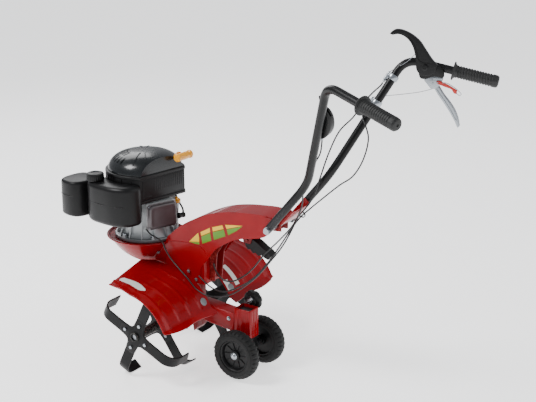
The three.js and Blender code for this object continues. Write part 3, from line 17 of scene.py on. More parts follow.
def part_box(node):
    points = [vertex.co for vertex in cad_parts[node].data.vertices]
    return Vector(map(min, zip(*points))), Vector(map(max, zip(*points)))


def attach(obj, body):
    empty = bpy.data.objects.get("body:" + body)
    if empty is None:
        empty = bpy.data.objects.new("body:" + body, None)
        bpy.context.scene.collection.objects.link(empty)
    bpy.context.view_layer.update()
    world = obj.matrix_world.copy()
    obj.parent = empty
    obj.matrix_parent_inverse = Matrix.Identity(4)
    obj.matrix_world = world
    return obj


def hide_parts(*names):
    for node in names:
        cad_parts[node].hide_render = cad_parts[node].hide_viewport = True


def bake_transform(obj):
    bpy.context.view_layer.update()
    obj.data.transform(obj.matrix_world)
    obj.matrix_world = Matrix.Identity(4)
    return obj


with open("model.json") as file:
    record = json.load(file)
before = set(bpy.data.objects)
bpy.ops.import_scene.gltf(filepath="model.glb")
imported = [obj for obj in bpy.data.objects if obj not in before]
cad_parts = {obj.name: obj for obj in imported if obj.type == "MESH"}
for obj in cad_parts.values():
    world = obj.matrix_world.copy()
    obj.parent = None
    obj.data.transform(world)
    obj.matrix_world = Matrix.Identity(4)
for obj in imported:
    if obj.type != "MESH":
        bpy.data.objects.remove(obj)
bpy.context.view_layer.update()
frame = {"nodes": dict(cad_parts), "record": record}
nodes = frame["nodes"]

# %% [markdown]
# ## Where things are
# All drawings of this machine are made from one point: the spot on the ground under the tine axle, with
# X forward, Y to the left and Z up, in millimetres. The handlebar's pivot bolt is on those drawings at
# 371 mm behind and 501 mm up, so the bolt in the frame tells where the drawing's origin lies.

# %% Drawing places
def middle_of(node):
    low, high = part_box(node)
    return (Vector(low) + Vector(high)) / 2


PIVOT_X, PIVOT_Z = -371, 501
bolt = middle_of("pivot_bolt")
ORIGIN = Vector((bolt.x - PIVOT_X / 1000, 0, bolt.z - PIVOT_Z / 1000))


def at(x, y, z):
    return ORIGIN + Vector((x, y, z)) / 1000


def turned(degrees, axis="Z"):
    return Matrix.Rotation(math.radians(degrees), 4, axis)


def shifted(x, y, z):
    """A move by some millimetres."""
    return Matrix.Translation(Vector((x, y, z)) / 1000)


def local(x=0, y=0, z=0, turn=0):
    """A drawing place as a matrix, turned by some degrees about the upright axis."""
    return Matrix.Translation(at(x, y, z)) @ turned(turn)


def drawn(place, point):
    """A point of some place, in millimetres, as a drawing point."""
    return tuple((place @ (Vector(point) / 1000) - ORIGIN) * 1000)


def polar(radius, degrees):
    """The two flat coordinates of a spot on a circle."""
    return radius * math.cos(math.radians(degrees)), radius * math.sin(math.radians(degrees))


SIDES = ((1, "left"), (-1, "right"))
MM = Matrix.Scale(0.001, 4)
AXLE_Z = (middle_of("tine_shaft").z - ORIGIN.z) * 1000
ENGINE_X, ENGINE_TURN, CYLINDER_TURN = 140, -10, -9
ENGINE = local(ENGINE_X, turn=ENGINE_TURN)
HEAD = ENGINE @ turned(CYLINDER_TURN)
print("origin", [round(v, 4) for v in ORIGIN], "axle height", round(AXLE_Z, 1))

# %% [markdown]
# ## Shader sums
# Procedural finishes are small sums: a noise, scaled, mixed with an edge mask. `Wire` wraps one output
# socket, so that those sums are written the way a person writes them: `grain * 0.2 + 0.5`.

# %% Wires
class Wire:
    """One output socket of a material, with sums, mixes and any other node as methods."""

    def __init__(self, tree, socket):
        self.tree = tree
        self.socket = socket

    def node(self, kind, settings=None, out=0, **sockets):
        made = self.tree.nodes.new(kind)
        for key, value in (settings or {}).items():
            setattr(made, key, value)
        for key, value in sockets.items():
            target = made.inputs[int(key[1:])] if key[1:].isdigit() else made.inputs[key.replace("_", " ")]
            if isinstance(value, Wire):
                self.tree.links.new(value.socket, target)
            else:
                target.default_value = value
        return Wire(self.tree, made.outputs[out])

    def sum(self, operation, a, b):
        return self.node("ShaderNodeMath", {"operation": operation}, i0=a, i1=b)

    def __add__(self, other):
        return self.sum("ADD", self, other)

    __radd__ = __add__

    def __mul__(self, other):
        return self.sum("MULTIPLY", self, other)

    __rmul__ = __mul__

    def clamped(self):
        return self.node("ShaderNodeClamp", i0=self)

    def between(self, low, high):
        """0 below low, 1 above high, and a smooth rise between them."""
        return self.node("ShaderNodeMapRange", {"interpolation_type": "SMOOTHSTEP"}, i0=self, i1=low, i2=high)

    def blend(self, first, second):
        """A colour mixed from first, where this is 0, to second, where it is 1."""
        return self.node("ShaderNodeMix", {"data_type": "RGBA"}, out=2, i0=self, i6=first, i7=second)


def noise(wire, scale, detail, roughness=0.55):
    return wire.node("ShaderNodeTexNoise", Vector=wire, Scale=scale, Detail=detail, Roughness=roughness)


def colour(red, green, blue):
    """A display colour, 0 to 255, as the linear values that a shader works in."""
    return tuple(((c / 255 + 0.055) / 1.055) ** 2.4 if c > 10 else c / 3294.6
                 for c in (red, green, blue)) + (1.0,)


# %% [markdown]
# ## The finishes
# Real surfaces differ in three ways that a picture shows: the tone wanders slightly over a hand's width,
# the gloss is broken by fine grain and by dust in small patches, and edges that are handled wear
# brighter. `finish` makes those three for any stuff. Each finish then says only what is its own: how
# deep the grain is, how shiny the skin is, and what the dust and the wear look like.

# %% One maker for all finishes
def finish(name, tone, metal, rough, grain, depth, coat=0.0, dust=0.12, wear=None, drift=0.10, dull=0.12,
           streak=1.0, shine=0.5):
    material = bpy.data.materials.new(name)
    material.use_nodes = True
    tree = material.node_tree
    shader = tree.nodes["Principled BSDF"]
    place = Wire(tree, tree.nodes.new("ShaderNodeTexCoord").outputs["Object"])
    if streak != 1.0:
        place = place.node("ShaderNodeMapping", Vector=place, Scale=(1.0, 1.0, streak))
    broad = noise(place, 9.0, 3.0)
    fine = noise(place, grain, 6.0, 0.6)
    speck = noise(place, grain * 0.22, 8.0, 0.7)
    darker = tuple(c * (1 - drift * 2) for c in tone[:3]) + (1.0,)
    lighter = tuple(min(1.0, c * (1 + drift * 1.5) + 0.002) for c in tone[:3]) + (1.0,)
    skin = broad.between(0.3, 0.72).blend(darker, lighter)
    dusty = speck.between(0.56, 0.78) * dust
    skin = dusty.blend(skin, colour(150, 138, 120))
    if wear:
        edge = Wire(tree, tree.nodes.new("ShaderNodeNewGeometry").outputs["Pointiness"])
        worn = (edge.between(0.535, 0.60) * fine.between(0.45, 0.62) * 0.6).clamped()
        skin = worn.blend(skin, wear)
    tree.links.new(skin.socket, shader.inputs["Base Color"])
    gloss = (fine * dull + (rough - dull / 2) + dusty * 0.9).clamped()
    tree.links.new(gloss.socket, shader.inputs["Roughness"])
    bump = place.node("ShaderNodeBump", Height=fine, Strength=depth, Distance=0.0004)
    tree.links.new(bump.socket, shader.inputs["Normal"])
    shader.inputs["Metallic"].default_value = metal
    shader.inputs["Coat Weight"].default_value = coat
    shader.inputs["Coat Roughness"].default_value = 0.08
    shader.inputs["Specular IOR Level"].default_value = shine
    return material


# %% Paints
red_paint = finish("red paint", colour(138, 1, 11), 0.0, 0.24, 420.0, 0.03, coat=0.1, dust=0.01,
                   drift=0.05, dull=0.06, shine=0.15)
dark_red_paint = finish("casting red paint", colour(112, 4, 10), 0.0, 0.40, 160.0, 0.25, coat=0.1, dust=0.04,
                        shine=0.2, wear=colour(176, 70, 62), drift=0.10)
black_paint = finish("black powder coat", colour(11, 11, 12), 0.0, 0.34, 700.0, 0.18, coat=0.1, dust=0.02,
                     shine=0.16, wear=colour(82, 82, 84), drift=0.08)
tine_paint = finish("tine paint", colour(13, 13, 14), 0.1, 0.42, 260.0, 0.25, coat=0.02, dust=0.03,
                    shine=0.16, wear=colour(112, 110, 106), drift=0.12)
head_paint = finish("cylinder head paint", colour(88, 82, 84), 0.35, 0.36, 300.0, 0.20, coat=0.2, dust=0.08,
                    wear=colour(160, 158, 158))
print("paints", [m.name for m in (red_paint, dark_red_paint, black_paint, tine_paint, head_paint)])

# %% Plastics and rubbers
black_plastic = finish("black moulded plastic", colour(13, 13, 14), 0.0, 0.38, 900.0, 0.25, dust=0.03,
                       drift=0.06, shine=0.25)
grain_plastic = finish("grained engine plastic", colour(12, 12, 13), 0.0, 0.38, 620.0, 0.40, dust=0.03,
                       drift=0.07, shine=0.22)
dome_plastic = finish("dark grey dome plastic", colour(20, 23, 25), 0.0, 0.24, 760.0, 0.12, coat=0.15,
                      dust=0.03, shine=0.3)
orange_plastic = finish("orange handle plastic", colour(244, 164, 16), 0.0, 0.34, 500.0, 0.12, coat=0.3,
                        dust=0.04)
red_plastic = finish("red latch plastic", colour(190, 36, 26), 0.0, 0.38, 500.0, 0.12, dust=0.06)
grip_rubber = finish("grip rubber", colour(16, 17, 17), 0.0, 0.62, 520.0, 0.60, dust=0.10, drift=0.10)
tyre_rubber = finish("tyre rubber", colour(13, 13, 13), 0.0, 0.66, 340.0, 0.70, dust=0.09, drift=0.14,
                     shine=0.3)
belt_rubber = finish("belt rubber", colour(28, 28, 28), 0.0, 0.70, 300.0, 0.70, dust=0.2)
sheath = finish("cable sheath", colour(14, 14, 15), 0.0, 0.40, 900.0, 0.20, dust=0.05)

# %% Metals and labels
zinc = finish("zinc plate", colour(158, 163, 168), 0.95, 0.26, 380.0, 0.16, dust=0.05, drift=0.08, streak=0.2)
steel = finish("ground steel", colour(140, 143, 148), 1.0, 0.30, 500.0, 0.20, dust=0.05, drift=0.10,
               streak=0.1)
cast_aluminium = finish("die cast aluminium", colour(176, 179, 180), 0.85, 0.50, 210.0, 0.75, dust=0.14,
                        drift=0.12)
iron = finish("sheet iron", colour(84, 82, 82), 0.8, 0.52, 240.0, 0.50, dust=0.12, drift=0.18)
bronze = finish("worm wheel bronze", colour(176, 132, 66), 1.0, 0.36, 260.0, 0.30, dust=0.05, drift=0.12)
label = finish("plain pale label", colour(222, 222, 216), 0.0, 0.42, 600.0, 0.10, dust=0.08, drift=0.03)
lime_label = finish("plain green label", colour(84, 140, 14), 0.0, 0.40, 600.0, 0.08, dust=0.02, drift=0.04)
yellow_label = finish("plain yellow label", colour(240, 190, 8), 0.0, 0.40, 600.0, 0.08, dust=0.02,
                      drift=0.04)
grey_label = finish("plain grey label", colour(120, 122, 124), 0.3, 0.40, 600.0, 0.10, dust=0.05, drift=0.05)
print("materials made", len(bpy.data.materials))

# %% [markdown]
# ## Making and keeping pieces
# Every piece is a mesh made point by point. `keep` gives it its finish, hides the plain solid that it
# stands for and lets it ride on its body. Edges get a small bevel, because no pressed, cast or moulded
# edge is a perfect line, and it is the bevel that catches the light.

# %% Keeping a piece
body_of = {node: body for body, held in frame["record"]["behaviour"]["bodies"].items() for node in held}


def keep(piece, material, node, replace=True, crisp=35):
    """The finish and body of a CAD node, given to a piece that stands for it or sits on it."""
    if piece.type == "MESH":
        piece.data.shade_smooth()
        piece.data.set_sharp_from_angle(angle=math.radians(crisp))
    piece.data.materials.clear()
    piece.data.materials.append(material)
    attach(piece, body_of[node])
    if replace:
        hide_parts(node)
    return piece


def object_from(name, shape, place):
    """A bmesh in millimetres as an object whose mesh lies in its final place."""
    bmesh.ops.recalc_face_normals(shape, faces=shape.faces)
    shape.transform(place @ MM)
    mesh = bpy.data.meshes.new(name)
    shape.to_mesh(mesh)
    shape.free()
    piece = bpy.data.objects.new(name, mesh)
    bpy.context.scene.collection.objects.link(piece)
    return piece


def bevelled(piece, width, segments=3, angle=40):
    bevel = piece.modifiers.new("edges", "BEVEL")
    bevel.width = width / 1000
    bevel.segments = segments
    bevel.limit_method = "ANGLE"
    bevel.angle_limit = math.radians(angle)
    return settled(piece)


def settled(piece):
    """The piece with its modifiers made part of its mesh."""
    ready = piece.evaluated_get(bpy.context.evaluated_depsgraph_get())
    mesh = bpy.data.meshes.new_from_object(ready)
    piece.modifiers.clear()
    piece.data = mesh
    return piece


# %% [markdown]
# Four ways of making a form cover nearly the whole machine: turning a profile, cutting a plate from an
# outline, sweeping a round bar along a route, and bending a sheet over a grid of points.

# %% Turned pieces
def lathe(name, profile, place, sides=64, radius_at=None):
    """A (radius, height) profile turned about the upright axis of a place."""
    shape = bmesh.new()
    rings = []
    for step, (radius, height) in enumerate(profile):
        if radius < 1e-6:
            rings.append([shape.verts.new((0, 0, height))])
            continue
        ring = []
        for side in range(sides):
            angle = 2 * math.pi * side / sides
            reach = radius_at(radius, step, side) if radius_at else radius
            ring.append(shape.verts.new((reach * math.cos(angle), reach * math.sin(angle), height)))
        rings.append(ring)
    for low, high in zip(rings, rings[1:]):
        for side in range(sides):
            after = (side + 1) % sides
            if len(low) == 1 and len(high) == 1:
                continue
            if len(low) == 1:
                shape.faces.new((low[0], high[side], high[after]))
            elif len(high) == 1:
                shape.faces.new((low[side], low[after], high[0]))
            else:
                shape.faces.new((low[side], low[after], high[after], high[side]))
    return object_from(name, shape, place)


def aimed(along):
    """The turn that points the upright axis along some direction."""
    return Vector((0, 0, 1)).rotation_difference(along.normalized()).to_matrix().to_4x4()


def facing(start, end):
    """The place whose upright axis runs from start to end, both drawing points in millimetres."""
    return Matrix.Translation(at(*start)) @ aimed(Vector(end) - Vector(start))


# %% Plates
OVERRUN = 4


def plate(name, outline, low, high, place, bevel=1.0, upright=True, segments=3, holes=()):
    """An outline as a plate: (x, z) points between two y values if upright, else (x, y) between two z."""
    shape = bmesh.new()
    lift = (lambda u, v, w: (u, w, v)) if upright else (lambda u, v, w: (u, v, w))
    first = [shape.verts.new(lift(u, v, low)) for u, v in outline]
    last = [shape.verts.new(lift(u, v, high)) for u, v in outline]
    shape.faces.new(first)
    shape.faces.new(last)
    for i in range(len(outline)):
        after = (i + 1) % len(outline)
        shape.faces.new((first[i], first[after], last[after], last[i]))
    piece = object_from(name, shape, place)
    for x, y, radius in holes:
        base, tip = Vector(lift(x, y, low - OVERRUN)), Vector(lift(x, y, high + OVERRUN))
        reach = high - low + 2 * OVERRUN
        tool = lathe("tool", [(0, 0), (radius, 0), (radius, reach), (0, reach)], Matrix(), 24)
        tool.data.transform(place @ shifted(*base) @ aimed(tip - base))
        cut(piece, tool)
    return bevelled(piece, bevel, segments) if bevel else piece


def cut(piece, tool, operation="DIFFERENCE"):
    """One solid cut by, joined with or kept inside another, which is then thrown away."""
    step = piece.modifiers.new("cut", "BOOLEAN")
    step.object = tool
    step.operation = operation
    step.solver = "EXACT"
    settled(piece)
    bpy.data.objects.remove(tool)
    return piece


def box(name, low, high, place, bevel=1.0):
    x0, y0, z0 = low
    x1, y1, z1 = high
    return plate(name, [(x0, y0), (x1, y0), (x1, y1), (x0, y1)], z0, z1, place, bevel, upright=False)


# %% Smooth lines and bars
def smooth(points, closed=False, steps=6):
    """More points on a smooth curve through the given ones."""
    points = [Vector(p) for p in points]
    count = len(points)
    result = []
    for i in range(count if closed else count - 1):
        p1 = points[i]
        p2 = points[(i + 1) % count]
        p0 = points[i - 1] if i > 0 or closed else p1 * 2 - p2
        p3 = points[(i + 2) % count] if i + 2 < count or closed else p2 * 2 - p1
        t1 = (p1 - p0).length ** 0.5
        t2 = t1 + (p2 - p1).length ** 0.5
        t3 = t2 + (p3 - p2).length ** 0.5
        for step in range(steps):
            t = t1 + (t2 - t1) * step / steps
            a1 = p0 * ((t1 - t) / t1) + p1 * (t / t1)
            a2 = p1 * ((t2 - t) / (t2 - t1)) + p2 * ((t - t1) / (t2 - t1))
            a3 = p2 * ((t3 - t) / (t3 - t2)) + p3 * ((t - t2) / (t3 - t2))
            b1 = a1 * ((t2 - t) / t2) + a2 * (t / t2)
            b2 = a2 * ((t3 - t) / (t3 - t1)) + a3 * ((t - t1) / (t3 - t1))
            result.append(b1 * ((t2 - t) / (t2 - t1)) + b2 * ((t - t1) / (t2 - t1)))
    return result if closed else result + [points[-1]]


def rounded(points, closed=False, steps=5):
    """A flat outline made smooth, as pairs of coordinates."""
    return [(p.x, p.z) for p in smooth([(x, 0, z) for x, z in points], closed=closed, steps=steps)]


def bar(name, route, radius, sides=6, closed=False):
    """A round bar, tube, wire or cable along a route of drawing points."""
    line = bpy.data.curves.new(name, "CURVE")
    line.dimensions = "3D"
    line.bevel_depth = radius / 1000
    line.bevel_resolution = sides
    line.use_fill_caps = True
    spline = line.splines.new("POLY")
    spline.points.add(len(route) - 1)
    spline.use_cyclic_u = closed
    for point, place in zip(spline.points, route):
        point.co = (*at(*place), 1)
    piece = bpy.data.objects.new(name, line)
    bpy.context.scene.collection.objects.link(piece)
    mesh = bpy.data.meshes.new_from_object(piece.evaluated_get(bpy.context.evaluated_depsgraph_get()))
    bpy.data.objects.remove(piece)
    made = bpy.data.objects.new(name, mesh)
    bpy.context.scene.collection.objects.link(made)
    return made


def sheet(name, rows, thick, place=None, offset=-1.0):
    """A grid of points, row by row, as a pressed sheet of some thickness."""
    shape = bmesh.new()
    grid = [[shape.verts.new(point) for point in row] for row in rows]
    for near, far in zip(grid, grid[1:]):
        for i in range(len(near) - 1):
            shape.faces.new((near[i], near[i + 1], far[i + 1], far[i]))
    piece = object_from(name, shape, place or local())
    skin = piece.modifiers.new("thickness", "SOLIDIFY")
    skin.thickness = thick / 1000
    skin.offset = offset
    skin.use_even_offset = True
    return settled(piece)


def join(pieces):
    """Several meshes of one finish as one piece, named after the first."""
    shape = bmesh.new()
    for piece in pieces:
        shape.from_mesh(piece.data)
    shape.to_mesh(pieces[0].data)
    shape.free()
    for piece in pieces[1:]:
        bpy.data.objects.remove(piece)
    return pieces[0]


def hex_bolt(name, place, radius, height, washer=True):
    """A hexagon head with a chamfered top, on a thin washer."""
    head = lathe(name, [(0, 0), (radius, 0), (radius, height * 0.8), (radius * 0.86, height), (0, height)],
                 place, 6)
    if not washer:
        return head
    rim = radius * 1.35
    return join([head, lathe("washer", [(0, -0.2), (rim, -0.2), (rim, 1.0), (0, 1.0)], place, 28)])


print("helpers ready")

# %% [markdown]
# ## The mudguards
# Each guard is one sheet of steel, rolled over the tines, flared at the back and stiffened by long pressed
# ribs. A grid of points follows the rolled line, and the ribs are small rises in it, so that the light
# runs over them as it does over real pressings. The outer edge is folded into a bead.

# %% Guard lines
GUARD_RADIUS, GUARD_INNER, GUARD_OUTER = 164, 50, 290
CREST_X, CREST_RISE, FRONT_SLOPE = 52, 178, 0.115
ROLL_START, ROLL_END = 84, 156
FRONT_STEPS, ROLL_STEPS, REAR_STEPS = 6, 26, 5
GUARD_STEPS = FRONT_STEPS + ROLL_STEPS + REAR_STEPS
GUARD_SINK = 4.2


def guard_front(y):
    """How far forward the sheet reaches: a slanted line, kept clear of the round deck."""
    slanted = min(104, 50 + (320 - y) * 54 / 232)
    deck = ENGINE_X - math.sqrt(max(0, 82 ** 2 - y ** 2)) - 1 if y < 82 else 200
    return min(slanted, deck)


def guard_line(y):
    """The rolled line of the sheet at some y, from the front edge to the flared rear."""
    reach = guard_front(y) - CREST_X
    line = []
    for i in range(FRONT_STEPS + 1):
        ahead = reach * (1 - i / FRONT_STEPS)
        line.append((CREST_X + ahead, AXLE_Z + CREST_RISE + FRONT_SLOPE * ahead))
    for i in range(1, ROLL_STEPS + 1):
        angle = ROLL_START + (ROLL_END - ROLL_START) * i / ROLL_STEPS
        swell = 14 * max(0, 1 - (angle - ROLL_START) / 14)
        line.append((polar(GUARD_RADIUS + swell, angle)[0],
                     AXLE_Z + polar(GUARD_RADIUS + swell * 0.9, angle)[1]))
    last = line[-1]
    outward = max(0, (y - 190) / 100)
    wave = 0.5 - 0.5 * math.cos((y - GUARD_INNER) / 30)
    rear = (-176 + 8 * wave + 14 * outward, AXLE_Z + 53 + 3 * wave + 5 * outward)
    for i in range(1, REAR_STEPS + 1):
        line.append(tuple(a + (b - a) * i / REAR_STEPS for a, b in zip(last, rear)))
    return line


def pressed(y, along):
    """The rise of the ribs, in millimetres: three across the top and a swage near the outer edge."""
    fade = min(1, max(0, (along - 0.16) * 9), max(0, (0.86 - along) * 9))
    ribs = sum(2.2 * math.exp(-((y - centre) / 6) ** 2) * fade for centre in (96, 150, 204))
    return ribs + 2.6 * math.exp(-((y - 262) / 7) ** 2)


def on_guard(side, y, step, proud=0.0):
    """A spot on the pressed sheet, some steps along its rolled line, or standing proud of it."""
    x, z = guard_line(y)[step]
    normal = Vector((x, 0, z - AXLE_Z)).normalized()
    lift = pressed(y, step / GUARD_STEPS) - GUARD_SINK + proud
    return x + normal.x * lift, y * side, z + normal.z * lift


print("guard line at its inner edge", [tuple(map(round, spot)) for spot in guard_line(GUARD_INNER)[::9]])

# %% Guards
GUARD_ROWS = 80


def guard(side, name):
    rows = []
    for j in range(GUARD_ROWS + 1):
        y = GUARD_INNER + (GUARD_OUTER - GUARD_INNER) * j / GUARD_ROWS
        rows.append([on_guard(side, y, step) for step in range(GUARD_STEPS + 1)])
    bead = bar("bead", rows[-1], 2.6, 4)
    return keep(join([sheet(name, rows, 2.2, offset=0), bead]), red_paint, name, crisp=50)


guards = [guard(side, f"guard_{word}") for side, word in SIDES]
print("guards", [len(g.data.polygons) for g in guards])

# %% [markdown]
# ## The upper cover
# The cover is a humped channel, folded from one sheet, that hides the belt and the column. Its two long
# top edges are rolled, not sharp. The side outline is cut first, the two top edges are rounded, the open
# underside is taken away and what is left gets the thickness of the sheet.

# %% Cover
COVER_HALF = 49.3
ridge = smooth([(26, 0, 398), (-33, 0, 448), (-92, 0, 483), (-156, 0, 510), (-224, 0, 526), (-279, 0, 532.5),
                (-332, 0, 536), (-373, 0, 533)], steps=6)
underside = smooth([(-377, 0, 506), (-345, 0, 470), (-244, 0, 443), (-196, 0, 417), (-167, 0, 397),
                    (-138, 0, 361), (-108, 0, 319), (-110, 0, 272)], steps=4)
underside += [Vector((-20, 0, 272)), Vector((26, 0, 282))]


def upper_cover():
    shape = bmesh.new()
    outline = ridge + underside
    sides = []
    for y in (-COVER_HALF, COVER_HALF):
        ring = [shape.verts.new((p.x, y, p.z)) for p in outline]
        shape.faces.new(ring)
        sides.append(ring)
    top = [shape.faces.new((sides[0][i], sides[0][i + 1], sides[1][i + 1], sides[1][i]))
           for i in range(len(ridge) - 1)]
    long_edges = [edge for face in top for edge in face.edges if edge.verts[0].co.y == edge.verts[1].co.y]
    bmesh.ops.bevel(shape, geom=long_edges, offset=11, segments=5, profile=0.5, affect="EDGES")
    piece = object_from("cover_sheet", shape, local())
    skin = piece.modifiers.new("thickness", "SOLIDIFY")
    skin.thickness = 0.0022
    skin.offset = -1
    return keep(settled(piece), red_paint, "upper_cover", crisp=32)


cover = upper_cover()
print("cover faces", len(cover.data.polygons))

# %% [markdown]
# ## The round deck
# The deck is a shallow pan with a slanted floor, welded to the belt case that runs back under the cover.
# A turned cone and a block are joined, and the floor line is cut through both at once, so that the
# curve where the floor meets the cone comes out by itself. The rim is rolled over a wire.

# %% Deck pan and belt case
RIM_RADIUS, RIM_Z, DECK_PLATE_Z = 129, 384, 378


def pan_radius(z):
    return RIM_RADIUS - 0.75 * (RIM_Z - z)


def lower_housing():
    deck = local(ENGINE_X)
    pan = lathe("deck_pan", [(0, 266), (pan_radius(266) - 3, 266), (pan_radius(RIM_Z) - 3, RIM_Z),
                             (122, RIM_Z), (118, DECK_PLATE_Z), (0, DECK_PLATE_Z)], deck, 96)
    case = box("case", (-121.8, -46.8, 266), (110, 46.8, 377.5), local(), bevel=5)
    cut(pan, case, "UNION")
    floor = [(-130, 270), (-20, 270), (40, 286), (110, 310), (190, 345), (270, 379), (270, 500), (-130, 500)]
    cut(pan, plate("floor", floor, -200, 200, local(), bevel=0), "INTERSECT")
    bevelled(pan, 2.5, 3, 30)
    rim = bar("rim", [drawn(deck, (*polar(126.3, 360 * i / 96), 381.2)) for i in range(96)], 2.7, 5,
              closed=True)
    return keep(join([pan, rim]), red_paint, "lower_housing", crisp=30)


deck = lower_housing()
print("deck faces", len(deck.data.polygons))

# %% [markdown]
# ## Gearbox, arm and socket
# The gearbox is cast in two halves, bolted face to face between the tines. The arm behind it is folded
# plate with a square socket at its end, and the socket's cheeks are stiffened by upright folds.

# %% Gearbox
def gearbox(side, name):
    low, high = (0.4, 25.6) if side > 0 else (-25.6, -0.4)
    arc = [polar(51, -180 + 10 * i) for i in range(32)]
    outline = [(x, AXLE_Z + z) for x, z in arc if x > -33 or z < 10]
    tower = [(-31.6, 269), (-73, 269), (-73, AXLE_Z - 30), (-60, AXLE_Z - 44)]
    body = plate(name, outline + tower, low, high, local(), bevel=4, segments=4)
    near, far = sorted((18.06 * side, 25.8 * side))
    boss = lathe("boss", [(0, 0), (24, 0), (24, 6.5), (22, 7.7), (0, 7.7)],
                 facing((0, near, AXLE_Z), (0, far, AXLE_Z)), 40)
    return keep(join([body, boss]), dark_red_paint, name, crisp=38)


for side, word in SIDES:
    gearbox(side, f"gearbox_{word}")
for index, (x, z) in enumerate([(38, 30), (44, -18), (10, -45), (-30, -40), (-66, 4), (-66, 60), (-66, 112)]):
    for side, word in reversed(SIDES):
        place = facing((x, 24.6 * side, AXLE_Z + z), (x, 30 * side, AXLE_Z + z))
        keep(hex_bolt(f"case_bolt_{index}_{word}", place, 4.4, 4.5), zinc, f"gearbox_{word}", replace=False)
print("gearbox halves and their bolts done")

# %% Rear arm and spur socket
def rear_arm():
    outline = [(-74, AXLE_Z + 62), (-216, AXLE_Z + 50), (-216, AXLE_Z - 12), (-74, AXLE_Z + 4)]
    arm = plate("rear_arm_folded", outline, -26, 26, local(), bevel=3.5, segments=4)
    socket = box("socket", (-274.6, -25.4, 113), (-215, 25.4, 208), local(), bevel=3.4)
    room = box("room", (-272, -23, 100), (-218, 23, 220), local(), bevel=0)
    cut(socket, room)
    folds = []
    for x in (-262, -245, -228):
        for side in (-1, 1):
            low, high = sorted((24.6 * side, 26.2 * side))
            folds.append(box("fold", (x - 4.6, low, 119), (x + 4.6, high, 202), local(), bevel=0.75))
    for y in (-14, 0, 14):
        folds.append(box("fold", (-275.4, y - 4.6, 119), (-273.8, y + 4.6, 202), local(), bevel=0.75))
    stud = lathe("stud", [(0, 0), (3, 0), (3, 8), (5.5, 8), (5.5, 10), (0, 10)],
                 facing((-216, -25, 190), (-216, -36, 190)), 24)
    return keep(join([arm, socket, stud] + folds), red_paint, "rear_arm", crisp=35)


arm = rear_arm()
for x, z in ((-98, 40), (-98, 18), (-196, 30)):
    for side, word in reversed(SIDES):
        place = facing((x, 25.6 * side, AXLE_Z + z), (x, 31 * side, AXLE_Z + z))
        keep(hex_bolt(f"arm_bolt_{-x}_{z}_{word}", place, 5, 5), zinc, "rear_arm", replace=False)
print("arm faces", len(arm.data.polygons))

# %% [markdown]
# ## Tines
# A rotor is a plate with four arms, and on each arm a strip of spring steel that runs outward, bends
# round towards the gearbox and ends in a slanted foot. The strip is swept as a bent sheet, which gives
# it the even thickness and the smooth bend that forging gives. Bolt heads and scuffed paint finish it.

# %% Tine stars
TINE_RADIUS, TINE_WIDTH, CURL, ROOT = 153, 36, 42, 34
OUTER_Y, OUTER_PHASE, INNER_Y, INNER_PHASE = 243, 25, 122, 55


def blade(angle, reach, side):
    tip = math.sqrt(TINE_RADIUS ** 2 - (TINE_WIDTH / 2) ** 2)
    line = [(ROOT + (tip - CURL - ROOT) * i / 5, 0.0) for i in range(5)]
    for i in range(11):
        fall, run = polar(CURL, 9 * i)
        line.append((tip - CURL + run, fall - CURL))
    line += [(tip, -CURL + (CURL - reach) * share) for share in (0.35, 0.7, 1.0)]
    rows = []
    for across in range(7):
        w = -TINE_WIDTH / 2 + TINE_WIDTH * across / 6
        slant = 6 - math.tan(math.radians(24)) * (w + TINE_WIDTH / 2)
        row = []
        for x, y in line:
            short = (max(0, -y - CURL) / (reach - CURL)) * max(0, slant + 9)
            row.append((x, (y + short * 0.6 + 2.3) * side, w))
        rows.append(row)
    strip = sheet("blade", rows, 4.6, Matrix(), offset=-1)
    bevelled(strip, 1.1, 2, 50)
    strip.data.transform(turned(-angle, "Y"))
    return strip


def star(name, y, phase, reach, side):
    outline = [polar(radius, phase + 90 * quarter + offset) for quarter in range(4) for radius, offset in
               ((60, -17), (62, -9), (62, 9), (60, 17), (37, 33), (34, 45), (37, 57))]
    holes = [(*polar(50, phase + 90 * quarter), 4) for quarter in range(2)]
    disc = plate(name, outline, -2.4, 2.4, Matrix(), bevel=0.8, segments=2, holes=holes)
    blades = [blade(phase + 90 * quarter, reach, side) for quarter in range(4)]
    hub_place = shifted(0, -9.5 if side > 0 else -0.5, 0) @ turned(-90, "X")
    hub = lathe("hub", [(0, 0), (20, 0), (20, 9), (18, 10), (0, 10)], hub_place, 32)
    whole = join([disc] + blades + [hub])
    whole.data.transform(Matrix.Translation(at(0, y * side, AXLE_Z)))
    return whole


for side, word in SIDES:
    keep(star(f"outer_star_{word}", OUTER_Y, OUTER_PHASE, 90, side), tine_paint, f"tine_star_{word}",
         crisp=42)
    inner = star(f"inner_star_{word}", INNER_Y, INNER_PHASE, 61, side)
    tube = lathe("tube", [(9.4, 0), (14.8, 0), (14.8, 225), (9.4, 225)],
                 facing((0, 27 * side, AXLE_Z), (0, 252 * side, AXLE_Z)), 40)
    keep(join([inner, tube]), tine_paint, f"tine_rotor_{word}", crisp=42)
    for phase, y, node in ((OUTER_PHASE, OUTER_Y, f"tine_star_{word}"),
                           (INNER_PHASE, INNER_Y, f"tine_rotor_{word}")):
        for quarter in range(4):
            x, z = polar(42, phase + 90 * quarter)
            place = facing((x, (y + 2.2) * side, AXLE_Z + z), (x, (y + 9) * side, AXLE_Z + z))
            head = hex_bolt(f"tine_bolt_{node[-7:]}_{y}_{quarter}", place, 6, 4.6, washer=False)
            keep(head, zinc, node, replace=False)
print("tine pieces done")

# %% [markdown]
# ## The engine, from the deck up
# The engine stands upright: a cast crankcase on a round flange, a finned cylinder pointing back with a
# pressed rocker cover, a moulded shroud round the fan, and a domed starter cover on top. It is turned a
# little on the deck, so all its pieces are made in the engine's own place and the cylinder in another.

